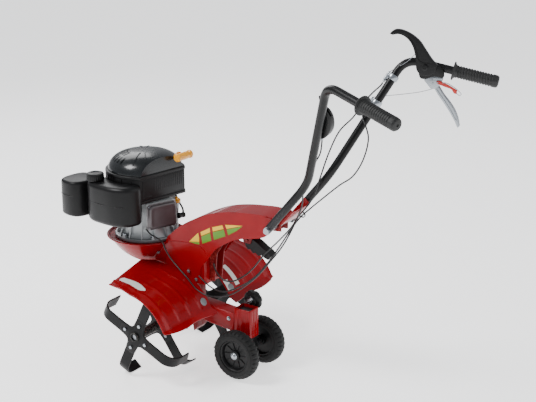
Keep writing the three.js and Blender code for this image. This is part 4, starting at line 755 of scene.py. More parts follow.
# %% Crankcase, cylinder and oil filler
lug_spots = [polar(93, 30 + 60 * i) for i in range(6)]
oil_from, oil_bend, oil_to = Vector((-48, -80, 384)), Vector((-54, -76, 410)), Vector((-72, -64, 486))


def crankcase():
    body = lathe("crankcase_casting", [(0, 378.4), (101, 378.4), (102, 379.5), (102, 386.5), (100.5, 388.2),
                                       (90, 389), (84, 396), (80, 414), (75, 468), (66, 484), (59, 492),
                                       (57, 506), (0, 506)], ENGINE, 80)
    ribs = []
    for i in range(14):
        outline = [(76, 389), (97, 389), (82, 430), (76, 466), (70, 466)]
        ribs.append(plate("rib", outline, -1.6, 1.6, ENGINE @ turned(360 * i / 14), bevel=0.8))
    for x, y in lug_spots:
        ribs.append(lathe("lug", [(0, 380), (8, 380), (8, 394), (7, 395), (0, 395)],
                          ENGINE @ shifted(x, y, 0), 24))
    core = box("core", (-88, -40, 430), (-56, 40, 496), HEAD, bevel=3)
    fins = [box("fin", (-x - 2.2, -53.5, 418.5), (-x, 53.5, 505.5), HEAD, bevel=0.7)
            for x in (60, 65, 70, 75, 80, 84.5)]
    filler = bar("filler", [drawn(ENGINE, p) for p in (oil_from, oil_bend, oil_to)], 8.6, 6)
    return keep(join([body, core, filler] + ribs + fins), cast_aluminium, "crankcase", crisp=34)


casting = crankcase()
print("crankcase faces", len(casting.data.polygons))

# %% Flange bolts
for i, (x, y) in enumerate(lug_spots):
    keep(hex_bolt(f"flange_bolt_{i}", ENGINE @ shifted(x, y, 395), 6, 6), zinc, "crankcase", replace=False)
print("flange bolts", len(lug_spots))

# %% Rocker cover
FACE_X, COVER_HALF_Y, COVER_LOW, COVER_HIGH, CORNER = -88.4, 54.5, 420.5, 503.5, 13
PRESSING = ((0, 0), (2.4, 0), (2.6, 2.2), (3.2, 2.6), (8.5, 4.0), (10.6, 5.4), (11.6, 8.0), (11.9, 12),
            (10.9, 14), (10.9, 22))


def rocker_cover():
    centre, half = (COVER_LOW + COVER_HIGH) / 2, (COVER_HIGH - COVER_LOW) / 2
    across, up = COVER_HALF_Y - CORNER, half - CORNER
    outline = []
    for cy, cz, start in ((across, up, 0), (-across, up, 90), (-across, -up, 180), (across, -up, 270)):
        for step in range(7):
            y, z = polar(CORNER, start + 15 * step)
            outline.append((cy + y, cz + z))
    shape = bmesh.new()
    rings = []
    for depth, inset in PRESSING:
        wide, tall = 1 - inset / COVER_HALF_Y, 1 - inset / half
        rings.append([shape.verts.new((FACE_X - depth, y * wide, centre + z * tall)) for y, z in outline])
    for near, far in zip(rings, rings[1:]):
        for i in range(len(near)):
            after = (i + 1) % len(near)
            shape.faces.new((near[i], near[after], far[after], far[i]))
    shape.faces.new(rings[0])
    shape.faces.new(rings[-1])
    return keep(object_from("rocker_cover_pressing", shape, HEAD), head_paint, "rocker_cover", crisp=50)


rocker_cover()
for index, (y, z) in enumerate(((45, 429), (-45, 429), (45, 495), (-45, 495))):
    place = HEAD @ shifted(-91.2, y, z) @ turned(-90, "Y")
    keep(hex_bolt(f"rocker_bolt_{index}", place, 4.6, 4), zinc, "rocker_cover", replace=False)
print("rocker cover and its bolts done")

# %% Spark plug and its lead
thread = lathe("plug_body", [(0, 0), (7.6, 0), (7.6, 5), (5, 6), (5, 15), (0, 15)],
               HEAD @ shifted(-75, -54.5, 442) @ turned(90, "X"), 6)
boot = lathe("plug_boot", [(0, 0), (8.6, 0), (9.4, 2), (9.4, 7), (8, 9), (8, 18), (9, 20), (8.4, 25),
                           (0, 26)], HEAD @ shifted(-75, -69.5, 442) @ turned(90, "X"), 32)
keep(join([thread, boot]), black_plastic, "spark_plug")
lead_line = [drawn(HEAD, p) for p in ((-75, -90, 442), (-66, -95, 458), (-52, -88, 484), (-44, -80, 513))]
keep(bar("plug_lead", smooth(lead_line), 3.2, 4), sheath, "engine_shroud", replace=False)
print("plug and lead done")

# %% [markdown]
# ## Shroud and starter dome
# The shroud is a moulded ring with a flat rear face. Its walls have a step where the fan housing ends,
# and its foot has a flange. The dome above it is turned and cut flat at the rear like the shroud. Two
# rows of short grooves, four raised swells and a hoop near the top break up its smooth skin.

# %% Shroud
ARC_STEPS = 72


def flat_backed(radius, rear):
    """A circle whose rear is cut off straight."""
    corner = math.degrees(math.acos(rear / radius))
    return [polar(radius, corner - 180 + 2 * (180 - corner) * i / ARC_STEPS) for i in range(ARC_STEPS + 1)]


def engine_shroud():
    shell = plate("shroud_wall", flat_backed(123.5, 82), 520, 592, ENGINE, bevel=2, upright=False)
    foot = plate("shroud_foot", flat_backed(125.9, 83.9), 512, 521, ENGINE, bevel=1.6, upright=False)
    crown = plate("shroud_crown", flat_backed(125.9, 83.9), 590, 600, ENGINE, bevel=2.2, upright=False)
    ribs = [box("rib", (122, -1.3, 519), (125.6, 1.3, 592), ENGINE @ turned(-118 + 15.7 * i), bevel=0.6)
            for i in range(16)]
    panel = box("panel", (-83.4, -84, 526), (-81, 84, 586), ENGINE, bevel=1.0)
    ribs += [box("grille", (-84, y - 1.6, 545), (-82, y + 1.6, 584), ENGINE, bevel=0.6)
             for y in range(-78, 40, 8)]
    ribs.append(box("swage", (-84, 48, 530), (-82, 80, 534), ENGINE, bevel=0.8))
    return keep(join([shell, foot, crown, panel] + ribs), grain_plastic, "engine_shroud", crisp=34)


engine_shroud()
print("shroud done")

# %% Starter dome
DOME_BASE, DOME_RISE, DOME_Z = 118, 55.5, 600.4
SHOULDER, CROWN = 0.62, 1.15


def dome_height(radius):
    """How high the skin stands at some distance from the middle."""
    angle = math.acos(min(1, (radius / DOME_BASE) ** (1 / SHOULDER)))
    return DOME_Z + DOME_RISE * math.sin(angle) ** CROWN


def starter_dome():
    arc = []
    for i in range(19):
        angle = math.pi / 2 * i / 18
        radius = DOME_BASE * math.cos(angle) ** SHOULDER if i < 18 else 0
        arc.append((radius, DOME_Z + DOME_RISE * math.sin(angle) ** CROWN))
    dome = lathe("dome_skin", [(0, DOME_Z)] + arc, ENGINE, 96)
    cut(dome, box("rear", (-200, -200, 560), (-80.2, 200, 700), ENGINE, bevel=0))
    for row, (near, far, count, start) in enumerate(((52, 76, 7, 18), (82, 104, 9, 12))):
        for slot in range(count):
            place = ENGINE @ turned(start + 10 * slot)
            cut(dome, box("groove", (near, -2.6, 642 - 14 * row), (far, 2.6, 700), place, bevel=0))
    swells = []
    for turn, reach in ((-52, 108), (-30, 110), (118, 104), (140, 96)):
        place = ENGINE @ turned(turn)
        line = [drawn(place, (radius, 0, dome_height(radius)))
                for radius in (reach * k / 8 for k in range(3, 9))]
        swells.append(bar("swell", smooth(line, steps=4), 2.2, 5))
    hoop = bar("dome_hoop", [drawn(ENGINE, (*polar(34, 7.5 * i), 653.4)) for i in range(48)], 1.8, 4,
               closed=True)
    bevelled(dome, 1.4, 3, 40)
    return keep(join([dome, hoop] + swells), dome_plastic, "starter_dome", crisp=38)


starter_dome()
for i in range(4):
    place = ENGINE @ shifted(*polar(112, -120 + 80 * i), 600)
    keep(hex_bolt(f"shroud_screw_{i}", place, 4.2, 5), zinc, "engine_shroud", replace=False)
print("shroud and dome done")

# %% Starter handle
PULL = Vector((-0.86, -0.12, 0.5)).normalized()
hole = Vector((-66, -70, 620))
across = Vector((0, 0, 1)).cross(PULL).normalized()


def starter_handle():
    outer = hole + PULL * 38
    line = [outer + across * s + PULL * (-0.004 * s * s) for s in (-30, -22, -12, 0, 12, 22, 30)]
    grip = bar("starter_bar", [drawn(ENGINE, p) for p in smooth(line, steps=5)], 12.2, 8)
    collar = [hole + PULL * 12 + across * s + Vector((0, 0, lift))
              for s, lift in ((-17, 4), (-15, 14), (0, 20), (15, 14), (17, 4), (0, -2))]
    guide = bar("starter_guide", [drawn(ENGINE, p) for p in smooth(collar, closed=True, steps=5)], 3.4, 5,
                closed=True)
    ends = []
    for s in (-30, 30):
        place = facing(drawn(ENGINE, outer + across * s * 0.96), drawn(ENGINE, outer + across * s * 2))
        profile = [(0, -8), (8, -7.4), (12.4, -4), (13.6, 0), (13.4, 3), (11, 6), (0, 6.6)]
        ends.append(lathe("starter_end", profile, place, 24))
    stem = lathe("starter_stem", [(0, 0), (7.4, 0), (10, 3), (10.6, 12), (12, 22), (0, 24)],
                 facing(drawn(ENGINE, hole + PULL * 16), drawn(ENGINE, hole + PULL * 40)), 24)
    return keep(join([grip, stem, guide] + ends), orange_plastic, "starter_handle")


starter_handle()
rope = bar("starter_rope", [drawn(ENGINE, hole + PULL * s) for s in (-100, -50, 0, 20)], 2.1, 4)
keep(rope, sheath, "starter_handle", replace=False)
print("starter handle and rope done")

# %% [markdown]
# ## Tank, air filter, muffler
# The tank is a blow-moulded box that hugs the shroud, with fat rounded edges and a seam. The filter box
# in front of it has a lid and a clip band, and the muffler is a pressed iron box with louvres.

# %% Moulded boxes
SHROUD_ROOM = 126.8


def moulded(name, outline, low, high, round_by, hugs=True):
    """A box with a smooth outline, hollowed where it hugs the round shroud."""
    points = rounded(outline, closed=True, steps=6)
    piece = plate(name, points, low, high, ENGINE, bevel=round_by, upright=False, segments=6)
    if hugs:
        cut(piece, lathe("hug", [(0, 400), (SHROUD_ROOM, 400), (SHROUD_ROOM, 700), (0, 700)], ENGINE, 96))
    return piece


def engine_line(height, points):
    """A smooth level line round the engine, as drawing points."""
    return smooth([drawn(ENGINE, (x, y, height)) for x, y in points], steps=5)


print("moulded boxes stay", SHROUD_ROOM, "mm off the axis of the shroud")


# %% Fuel tank and cap
tank_line = [(-88, 98), (-84, 150), (-50, 175), (10, 184), (60, 181), (87, 162), (88, 120), (64, 97),
             (-20, 94)]
seam_line = [(-84.5, 112), (-83.2, 146), (-66, 168), (-50, 174.6), (-20, 180.6), (10, 183.8), (36, 183.6),
             (60, 180.6), (76, 172), (86.4, 161)]
neck_place = ENGINE @ shifted(62, 152, 0)
tank = moulded("fuel_tank_moulding", tank_line, 448.5, 576.5, 15)
seam = bar("tank_seam", engine_line(516, seam_line), 1.5, 3)
neck = lathe("tank_neck", [(0, 570), (19, 574), (18.4, 577), (16.8, 578), (16.8, 585.8), (0, 585.8)],
             neck_place, 40)
keep(join([tank, seam, neck]), grain_plastic, "fuel_tank", crisp=40)


def knurl(radius, step, side):
    return radius - (1.1 if side % 4 < 2 and 1 < step < 6 else 0)


cap_profile = [(18.4, 577.8), (26.6, 577.8), (27.8, 579.6), (27.8, 583), (27.2, 590), (27.2, 596),
               (25.4, 599.6), (21, 601.2), (12, 601.2), (11, 599.6), (0, 599.6)]
keep(lathe("fuel_cap_moulding", cap_profile, neck_place, 96, knurl), black_plastic, "fuel_cap")
print("tank and cap done")

# %% Air filter and muffler
filter_line = [(107, 99), (107, 176), (125, 197), (180, 195), (199, 170), (199, 101), (176, 85), (127, 85)]
lid_line = [(110, 104), (110, 172), (126, 192), (178, 190), (194, 168), (194, 104), (174, 90), (129, 90)]
clip_line = [(199.2, 104), (199.4, 168), (181, 194.6), (126, 196.6), (107.6, 175)]
filter_box = moulded("air_filter_box", filter_line, 450.5, 565.5, 9)
filter_lid = moulded("lid", lid_line, 520, 565.8, 7)
clip = bar("filter_clip", engine_line(519, clip_line), 1.6, 3)
keep(join([filter_box, filter_lid, clip]), grain_plastic, "air_filter", crisp=40)

muffler_line = [(12, -92), (12, -134), (31, -149), (99, -149), (111, -133), (111, -101), (92, -87), (31, -85)]
muffler = moulded("muffler_pressing", muffler_line, 430.5, 507.5, 8, hugs=False)
louvres = [box("louvre", (28 + 14 * i, -150, 444), (34 + 14 * i, -146, 494), ENGINE, bevel=1.2)
           for i in range(5)]
muffler_seam_line = [(12, -100), (12.4, -134), (31, -149), (99, -149), (110.6, -133), (111, -104)]
seam = bar("muffler_seam", engine_line(470, muffler_seam_line), 1.6, 3)
keep(join([muffler, seam] + louvres), iron, "muffler", crisp=40)
print("filter and muffler done")

# %% Oil cap
oil_axis = (oil_to - oil_from).normalized()
cap_line = [(0, 0.4), (12, 0.4), (13.6, 2), (13.6, 7), (11, 9), (6, 10), (5, 16), (0, 17)]
dip_cap = lathe("oil_cap_moulding", cap_line, facing(drawn(ENGINE, oil_to), drawn(ENGINE, oil_to + oil_axis)),
                60, lambda r, i, s: r - (1 if s % 6 < 2 and 1 < i < 5 else 0))
keep(dip_cap, orange_plastic, "oil_cap")
print("oil cap done")

# %% [markdown]
# ## Wheels
# The tyre is turned, but its tread isn't: blocks stand out of it in two staggered rows, so the radius
# changes with the angle. The hub is moulded, deeply dished, with ribs from its bore to its rim, and the
# steel axle shows at its middle behind a push-on clip.

# %% Wheel forms
WHEEL_X, WHEEL_Y, WHEEL_Z = -257, 72, 78
SHOULDER_RADIUS, TREAD_DEPTH = 72.5, 3.0


def tread(radius, step, side):
    """The radius of the tyre at one place: its shoulders are cut into small staggered blocks."""
    if radius < SHOULDER_RADIUS or step in (9, 10):
        return radius
    notch = (side + (3 if step > 9 else 0)) % 6 < 2
    return radius - (TREAD_DEPTH if notch else 0)


def wheel(side, word):
    place = local(WHEEL_X, WHEEL_Y * side, WHEEL_Z) @ turned(-90 * side, "X")
    profile = [(49.9, -15), (52, -19.4), (55, -20.4), (61, -20.8), (67, -20), (71, -17.6), (73, -17),
               (76, -13), (77.8, -8), (78, -2), (78, 2), (77.8, 8), (76, 13), (73, 17), (71, 17.6), (67, 20),
               (61, 20.8), (55, 20.4), (52, 19.4), (49.9, 15), (49.9, -15)]
    tyre = lathe(f"tyre_{word}_moulding", profile, place, 192, tread)
    beads = [lathe("wall_bead", [(63, z), (64.6, z + s * 0.9), (66, z), (63, z)], place, 96)
             for z, s in ((20.6, 1), (-20.6, -1))]
    keep(join([tyre] + beads), tyre_rubber, f"tyre_{word}", crisp=38)
    hub_profile = [(6.4, -16.5), (15, -17), (16, -15), (16, -4.6), (43, -4.2), (46, -15.6), (49.5, -16),
                   (49.7, -13), (49.7, 13), (49.5, 16.4), (46.6, 16.4), (44.6, 14), (42, 4.6), (38, 2.4),
                   (22, 1.6), (16.5, 4), (15.6, 12), (13, 13), (6.4, 13), (6.4, -16.5)]
    hub = lathe(f"hub_{word}_moulding", hub_profile, place, 80)
    ribs = [box("rib", (14, -1.5, 0), (43, 1.5, 4.6), place @ turned(36 * i), bevel=0.8)
            for i in range(10)]
    keep(join([hub] + ribs), black_plastic, f"wheel_hub_{word}", crisp=34)
    tip = lathe(f"axle_tip_{word}", [(0, 13.8), (10.4, 13.8), (10.8, 14.4), (10.8, 15.6), (9, 16.2),
                                     (7.4, 18.4), (5.8, 19), (5.8, 21), (4.6, 22), (0, 22)], place, 40)
    keep(tip, zinc, "spur_post", replace=False)


for side, word in SIDES:
    wheel(side, word)
print("wheels done")

# %% Spur post and knob
def spur_post():
    post = box("spur_post_tube", (-271.5, -22.6, 62), (-218.5, 22.6, 199.5), local(), bevel=3)
    tube = lathe("axle_tube", [(0, -53), (10.8, -53), (10.8, 53), (0, 53)],
                 local(WHEEL_X, 0, WHEEL_Z) @ turned(90, "X"), 40)
    return keep(join([post, tube]), black_paint, "spur_post", crisp=34)


spur_post()
knob_line = [(0, 0), (12, 0), (15, 2), (16, 6), (28, 8), (32, 11), (32.8, 15), (31, 21), (26, 24.5),
             (15, 25.5), (10, 24.6), (0, 24.2)]
knob = lathe("spur_knob", knob_line, facing((-240, -30, 216), (-240, -50, 216)), 72,
             lambda r, i, s: r - (1.6 if s % 9 < 3 and 4 < i < 9 else 0))
keep(knob, black_plastic, "spur_lever", replace=False)
lever_line = [(-208, 186), (-212, 182), (-216, 180.4), (-224, 188), (-250, 224), (-247, 229), (-242, 231.4),
              (-228, 218)]
spur_lock = plate("spur_lever_plate", lever_line, -30.8, -27.2, local(), bevel=0.9, holes=((-216, 190, 3.5),))
keep(spur_lock, zinc, "spur_lever")
print("spur post and lever done")

# %% [markdown]
# ## Handlebar
# Each side of the handlebar is one length of round tube with two cold bends, bolted through at its foot.
# A smooth curve through the bends gives the soft radius of a real bender, and the rubber grips are ribbed
# so that a hand doesn't turn on them.

# %% Tubes and grips
LOWER_END, LOW_BEND = Vector((-364, 63, 498)), Vector((-501, 63, 662))
HIGH_BEND, GRIP_END = Vector((-653, 220, 994)), Vector((-907, 308, 939))
GRIP_LENGTH, GRIP_RIBS, BEND_REACH, BEND_STEPS = 134, 13, 46, 14
GRIP_START = GRIP_END + (HIGH_BEND - GRIP_END).normalized() * GRIP_LENGTH


def bent(corners):
    """Straight runs with a round bend at each inner corner."""
    route = [corners[0]]
    for before, corner, after in zip(corners, corners[1:], corners[2:]):
        start = corner + (before - corner).normalized() * BEND_REACH
        end = corner + (after - corner).normalized() * BEND_REACH
        for i in range(BEND_STEPS + 1):
            t = i / BEND_STEPS
            route.append(start * (1 - t) ** 2 + corner * 2 * t * (1 - t) + end * t ** 2)
    return route + [corners[-1]]


def sided(point, side):
    return Vector((point.x, point.y * side, point.z))


def handle_side(side, word):
    end = GRIP_START.lerp(GRIP_END, 0.88)
    corners = [sided(p, side) for p in (LOWER_END, LOW_BEND, HIGH_BEND, end)]
    keep(bar(f"handle_tube_{word}_bent", bent(corners), 12.1, 10), black_paint, f"handle_tube_{word}")
    start, tip = sided(GRIP_START, side), sided(GRIP_END, side)
    length = (tip - start).length
    profile = [(12.6, 0.3), (25.5, 0.3), (27, 1.4), (27, 3.4), (25.4, 4.8), (21, 6), (18.4, 10)]
    for i in range(GRIP_RIBS):
        low = 14 + i * (length - 30) / GRIP_RIBS
        profile += [(17.8, low), (16.6, low + 1.6), (16.6, low + 3.4), (17.8, low + 5)]
    profile += [(17.9, length - 12), (17.2, length - 5), (14.5, length - 1.2), (9, length), (4, length),
                (3.4, length - 2), (0, length - 2)]
    grip = lathe(f"grip_{word}_moulding", profile, facing(start, tip), 64,
                 lambda r, i, s: r + (0.5 if 16.6 < r < 18 and s % 8 < 4 else 0))
    keep(grip, grip_rubber, f"grip_{word}", crisp=30)
    bolt_place = facing((PIVOT_X, 75.4 * side, PIVOT_Z), (PIVOT_X, 90 * side, PIVOT_Z))
    head = hex_bolt(f"tube_bolt_{word}", bolt_place, 8.6, 6)
    keep(head, zinc, "pivot_bolt", replace=False)


for side, word in SIDES:
    handle_side(side, word)
print("handlebar done")

# %% Handlebar bracket
def handle_bracket():
    lean = math.atan2((LOW_BEND - LOWER_END).z, -(LOW_BEND - LOWER_END).x)
    place = local(PIVOT_X, 0, PIVOT_Z) @ Matrix.Rotation(lean, 4, "Y")
    tray = box("handle_bracket_folded", (-95.5, -50.2, -15), (-34.5, 50.2, 12), place, bevel=2.4)
    cut(tray, box("room", (-99, -47.2, -12), (-30, 47.2, 16), place, bevel=0))
    swage = [box("swage", (-84, y - 3, -12.6), (-46, y + 3, -11), place, bevel=0.7) for y in (-28, 0, 28)]
    bolts = [hex_bolt("bolt", place @ shifted(-65, y, -11.8), 5.4, 4.6) for y in (-14, 14)]
    bolts[0].name = "handle_bracket_bolts"
    keep(join(bolts), zinc, "handle_bracket", replace=False)
    return keep(join([tray] + swage), red_paint, "handle_bracket", crisp=34)


bracket = handle_bracket()
print("bracket faces", len(bracket.data.polygons))

# %% [markdown]
# ## Levers on the right grip
# The clutch lever is a deep, curved moulding that folds back over the grip. The lever that hangs below is
# bent from bright strip, and a small red catch with a wire loop guards it. Their outlines are smooth curves
# through a few points of the side view, in a place whose X runs forward along the grip.

# %% The place of the controls
run = GRIP_START - HIGH_BEND
yaw = math.degrees(math.atan2(run.y, -run.x))
CONTROLS_X = -720
along = (CONTROLS_X - HIGH_BEND.x) / run.x
CONTROLS = local(CONTROLS_X, -(HIGH_BEND.y + along * run.y), 0, yaw)
LEVER_INNER = 20.9


def curved(first, second):
    """Two smooth curves, out and back, as one closed outline of (x, z) points."""
    return rounded(first) + rounded(second)


print("controls turned by", round(yaw, 1), "degrees")

# %% Clutch lever
lever_back = [(-26, 986), (-11, 1001), (9, 1029), (24, 1050), (41, 1065), (62, 1077), (81, 1083), (96, 1083),
              (107, 1077), (113, 1070)]
lever_front = [(104, 1067), (88, 1070), (70, 1064), (56, 1052), (46, 1036), (40, 1018), (36, 1000), (33, 970),
               (20, 956), (-4, 956), (-20, 967)]
clutch = plate("clutch_lever_moulding", curved(lever_back, lever_front), LEVER_INNER, LEVER_INNER + 15,
               CONTROLS, bevel=3.4, segments=4)
recess_out = [(-6, 990), (8, 1010), (24, 1034), (44, 1054), (62, 1066)]
recess_back = [(56, 1058), (42, 1040), (34, 1018), (28, 998), (14, 990)]
for low, high in ((LEVER_INNER + 12.8, LEVER_INNER + 20), (LEVER_INNER - 5, LEVER_INNER + 2.2)):
    cut(clutch, plate("recess", curved(recess_out, recess_back), low, high, CONTROLS, bevel=0))
keep(clutch, black_plastic, "clutch_lever", crisp=34)
print("clutch lever faces", len(clutch.data.polygons))

# %% Reverse lever, catch and wire loop
strip_out = [(-22, 932), (-45, 896), (-65, 872), (-80, 849), (-89, 827), (-94, 806)]
strip_back = [(-88, 800), (-77, 822), (-66, 841), (-49, 866), (-29, 893), (-14, 915), (-4, 922), (-4, 934)]
reverse = plate("reverse_lever_strip", curved(strip_out, strip_back), -8, 8, CONTROLS, bevel=1.6, segments=3)
gutter_out = [(-30, 912), (-46, 890), (-64, 866), (-78, 842), (-86, 822)]
gutter_back = [(-80, 826), (-68, 848), (-52, 872), (-34, 896), (-22, 912)]
for low, high in ((-9, -5), (5, 9)):
    cut(reverse, plate("gutter", curved(gutter_out, gutter_back), low, high, CONTROLS, bevel=0))
keep(reverse, zinc, "reverse_lever", crisp=34)
catch_out = [(-22, 935), (-30, 937), (-50, 930), (-66, 922), (-83, 912)]
catch_back = [(-82, 901), (-74, 903), (-66, 914), (-48, 920), (-26, 928)]
catch = plate("safety_latch_moulding", curved(catch_out, catch_back), 11.6, 15.4, CONTROLS, bevel=1.0,
              holes=((-27, 932, 2),))
keep(catch, red_plastic, "safety_latch")
loop = [drawn(CONTROLS, p) for p in ((-36, 13, 931), (-52, 20, 933), (-74, 21, 922), (-91, 19, 908),
                                     (-95, 14, 901), (-90, 13, 897), (-82, 15, 903))]
keep(bar("latch_wire", smooth(loop), 1.1, 4), zinc, "safety_latch", replace=False)
print("reverse lever and catch done")

# %% Control bracket
cheek_line = [(26, 990), (15, 1003), (0, 1003), (-16, 991), (-42, 968), (-43, 948), (-14, 950), (10, 941),
              (24, 944), (29, 966)]
cheek = plate("control_bracket_moulding", rounded(cheek_line, closed=True, steps=4), 13.4, 20.2, CONTROLS,
              bevel=1.6)
pin_line = [(0, 19.8), (4, 19.8), (4, 37), (8.4, 37), (9, 38), (9, 40), (7, 41.2), (3.6, 41.2), (3, 40),
            (0, 40)]
pin = lathe("lever_pin", pin_line, CONTROLS @ shifted(9, 0, 978) @ turned(-90, "X"), 40)
keep(join([cheek, pin]), black_plastic, "control_bracket", crisp=34)
print("control bracket done")

# %% Zinc carrier of the reverse lever
carrier_line = rounded([(13, 938), (-14, 947), (-39, 944), (-32, 923), (-10, 911), (3, 924)], closed=True,
                       steps=4)
carrier = [plate("reverse_bracket_plate", carrier_line, y, y + 2.2, CONTROLS, bevel=0.5)
           for y in (-10.8, 8.6)]
carrier.append(box("web", (-37, -10.6, 940.4), (-13, 10.6, 943), CONTROLS, bevel=0.6))
carrier.append(box("lug", (-39, 9, 940.4), (-13, 13, 944.6), CONTROLS, bevel=0.6))
carrier.append(lathe("pivot", [(0, -12.6), (3, -12.6), (3, 12.6), (0, 12.6)],
                     CONTROLS @ shifted(-12, 0, 928) @ turned(90, "X"), 24))
carrier.append(lathe("rivet", [(0, -17.4), (1.5, -17.4), (1.5, -9), (0, -9)],
                     CONTROLS @ shifted(-27, 0, 932) @ turned(90, "X"), 16))
keep(join(carrier), zinc, "reverse_bracket", crisp=34)
print("carrier done")

# %% [markdown]
# ## Throttle and adjusters
# The throttle is a small teardrop box on the inner side of the left tube, with a wedge of a lever that
# leans forward out of its slot. On the right tube two clamps hold the cable adjusters: knurled barrels
# with locknuts, through which the bright inner wires come out.

# %% Throttle
tube_up = (HIGH_BEND - LOW_BEND).normalized()
outward = (Vector((0, 1, 0)) - tube_up * tube_up.y).normalized()
forward = outward.cross(tube_up)
turn = Matrix((forward, outward, tube_up)).transposed().to_4x4()
THROTTLE = Matrix.Translation(at(*LOW_BEND.lerp(HIGH_BEND, 0.59))) @ turn
box_line = [(6, 53), (-12, 45), (-25, 20), (-27, -8), (-19, -34), (-8, -49), (8, -53), (15, -44), (17.4, 0),
            (17, 40)]
case_line = rounded(box_line, closed=True)
case = plate("throttle_box_moulding", case_line, -36.6, -12.8, THROTTLE, bevel=4, segments=4)
cut(case, box("slot", (-16, -27.7, -11), (60, -21.7, 60), THROTTLE, bevel=0))
lid = plate("throttle_lid", [(x * 0.8, z * 0.84) for x, z in case_line], -37.6, -36, THROTTLE, bevel=0.7)
pivot = lathe("throttle_pivot", [(0, -39.2), (3.4, -39.2), (4.4, -38.6), (4.4, -36), (0, -36)],
              THROTTLE @ turned(-90, "X"), 24)
keep(join([case, lid, pivot]), black_plastic, "throttle_box", crisp=36)
wedge = [(-8, -5), (5, -5), (11, 30), (25, 62), (33, 82), (30, 86), (21, 85), (9, 66), (-3, 30), (-9.6, 4)]
lever = plate("throttle_lever_moulding", wedge, -27, -22.4, THROTTLE, bevel=1.2, holes=((0, 0, 3.4),))
keep(lever, black_plastic, "throttle_lever")
print("throttle done")

# %% Cable adjusters
right_low, right_high = sided(LOW_BEND, -1), sided(HIGH_BEND, -1)
right_up = (right_high - right_low).normalized()


BARREL_OFFSET = Vector((21.2, 0, 0))
sleeve_line = [(1.6, -17.8), (3.4, -17.8), (3.4, -12), (5.4, -11.6), (5.4, 4), (5, 4.6), (3.4, 5),
               (3.4, 17.6), (1.6, 17.8), (1.6, -17.8)]


def adjuster(name, share):
    centre = right_low.lerp(right_high, share)
    clamp_line = [(12.4, -8), (15.4, -8), (16, -7), (16, 7), (15.4, 8), (12.4, 8), (12.4, -8)]
    collar = lathe(f"{name}_clamp", clamp_line, facing(centre, centre + right_up), 48)
    barrel = centre + BARREL_OFFSET
    place = facing(barrel, barrel + right_up)
    sleeve = lathe("barrel", sleeve_line, place, 48,
                   lambda r, i, s: r - (0.6 if s % 4 < 2 and i in (3, 4) else 0))
    nut = lathe("locknut", [(3.4, 6), (5.4, 6), (5.4, 9.6), (3.4, 9.6), (3.4, 6)], place, 6)
    arm = box("arm", (13, -4.6, -6), (20, 4.6, 6), local(*centre), bevel=1)
    keep(join([collar, sleeve, nut, arm]), zinc, name, crisp=34)
    return barrel


clutch_barrel = adjuster("clutch_adjuster", 0.84)
reverse_barrel = adjuster("reverse_adjuster", 0.62)
print("adjusters at", [round(v) for v in clutch_barrel], [round(v) for v in reverse_barrel])

# %% [markdown]
# ## Cables
# Three sheathed cables leave the hand controls and hang behind the column in loose arcs. Two go in at the
# belt case, and the throttle's runs on along the deck to the engine. Each is drawn as one smooth route, so
# that it bends like one real cable where it passes the pivot.

# %% Cable routes
clutch_upper = [clutch_barrel - right_up * 20, clutch_barrel - right_up * 30, (-578, -172, 896),
                (-553, -156, 862), (-532, -138, 822), (-505, -108, 784), (-488, -76, 722), (-478, -42, 648),
                (-466, -20, 590), (-430, 0, 533)]
clutch_lower = [(-429, 0.5, 531), (-414, 12, 502), (-382, 24, 461), (-328, 26, 404), (-288, 28, 352),
                (-256, 30, 322), (-218, 34, 299), (-181, 34, 297), (-153, 30, 317), (-142, 28, 340)]
reverse_upper = [reverse_barrel - right_up * 20, reverse_barrel - right_up * 28, (-570, -126, 830),
                 (-590, -112, 804), (-598, -112, 772), (-589, -100, 710), (-561, -90, 658), (-524, -80, 628),
                 (-470, -66, 578), (-440, -42, 546), (-430, -14, 530)]
reverse_lower = [(-429, -12, 528), (-408, 4, 492), (-380, 26, 436), (-354, 44, 390), (-316, 60, 340),
                 (-276, 76, 308), (-222, 84, 282), (-182, 80, 280), (-134, 66, 290), (-106, 56, 300)]
throttle_upper = [(-573, 106, 812), (-556, 88, 766), (-516, 64, 716), (-492, 52, 676), (-470, 36, 622),
                  (-460, 26, 582), (-437, 14, 537)]
throttle_lower = [(-436, 14.5, 535.5), (-426, 28, 500), (-408, 52, 452), (-372, 74, 396), (-342, 86, 356),
                  (-306, 94, 322), (-262, 98, 288), (-216, 99, 270), (-170, 99, 262), (-124, 96, 274),
                  (-88, 91, 300), (-50, 84, 322), (-10, 74, 346), (14, 69, 370), (24, 69, 390), (38, 76, 402),
                  (58, 83, 412), (76, 85, 428)]


def cable(word, upper, lower):
    route = smooth(upper + lower[1:], steps=7)
    piece = bar(f"{word}_cable", route, 2.3, 4)
    piece.data.shade_smooth()
    piece.data.materials.append(sheath)
    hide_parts(f"{word}_cable_upper", f"{word}_cable_lower")
    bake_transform(piece)


cable("clutch", clutch_upper, clutch_lower)
cable("reverse", reverse_upper, reverse_lower)
cable("throttle", throttle_upper, throttle_lower)
print("cables done")

# %% Inner wires
wires = {"clutch_wire": [drawn(CONTROLS, (37, 27, 1016)), drawn(CONTROLS, (60, 25, 992)),
                         clutch_barrel + right_up * 17],
         "reverse_wire": [drawn(CONTROLS, (-9, 0, 909)), drawn(CONTROLS, (30, 2, 898)),
                          reverse_barrel + right_up * 17]}
for name, route in wires.items():
    keep(bar(name, smooth(route, steps=8), 0.9, 3), steel, "clutch_adjuster", replace=False)

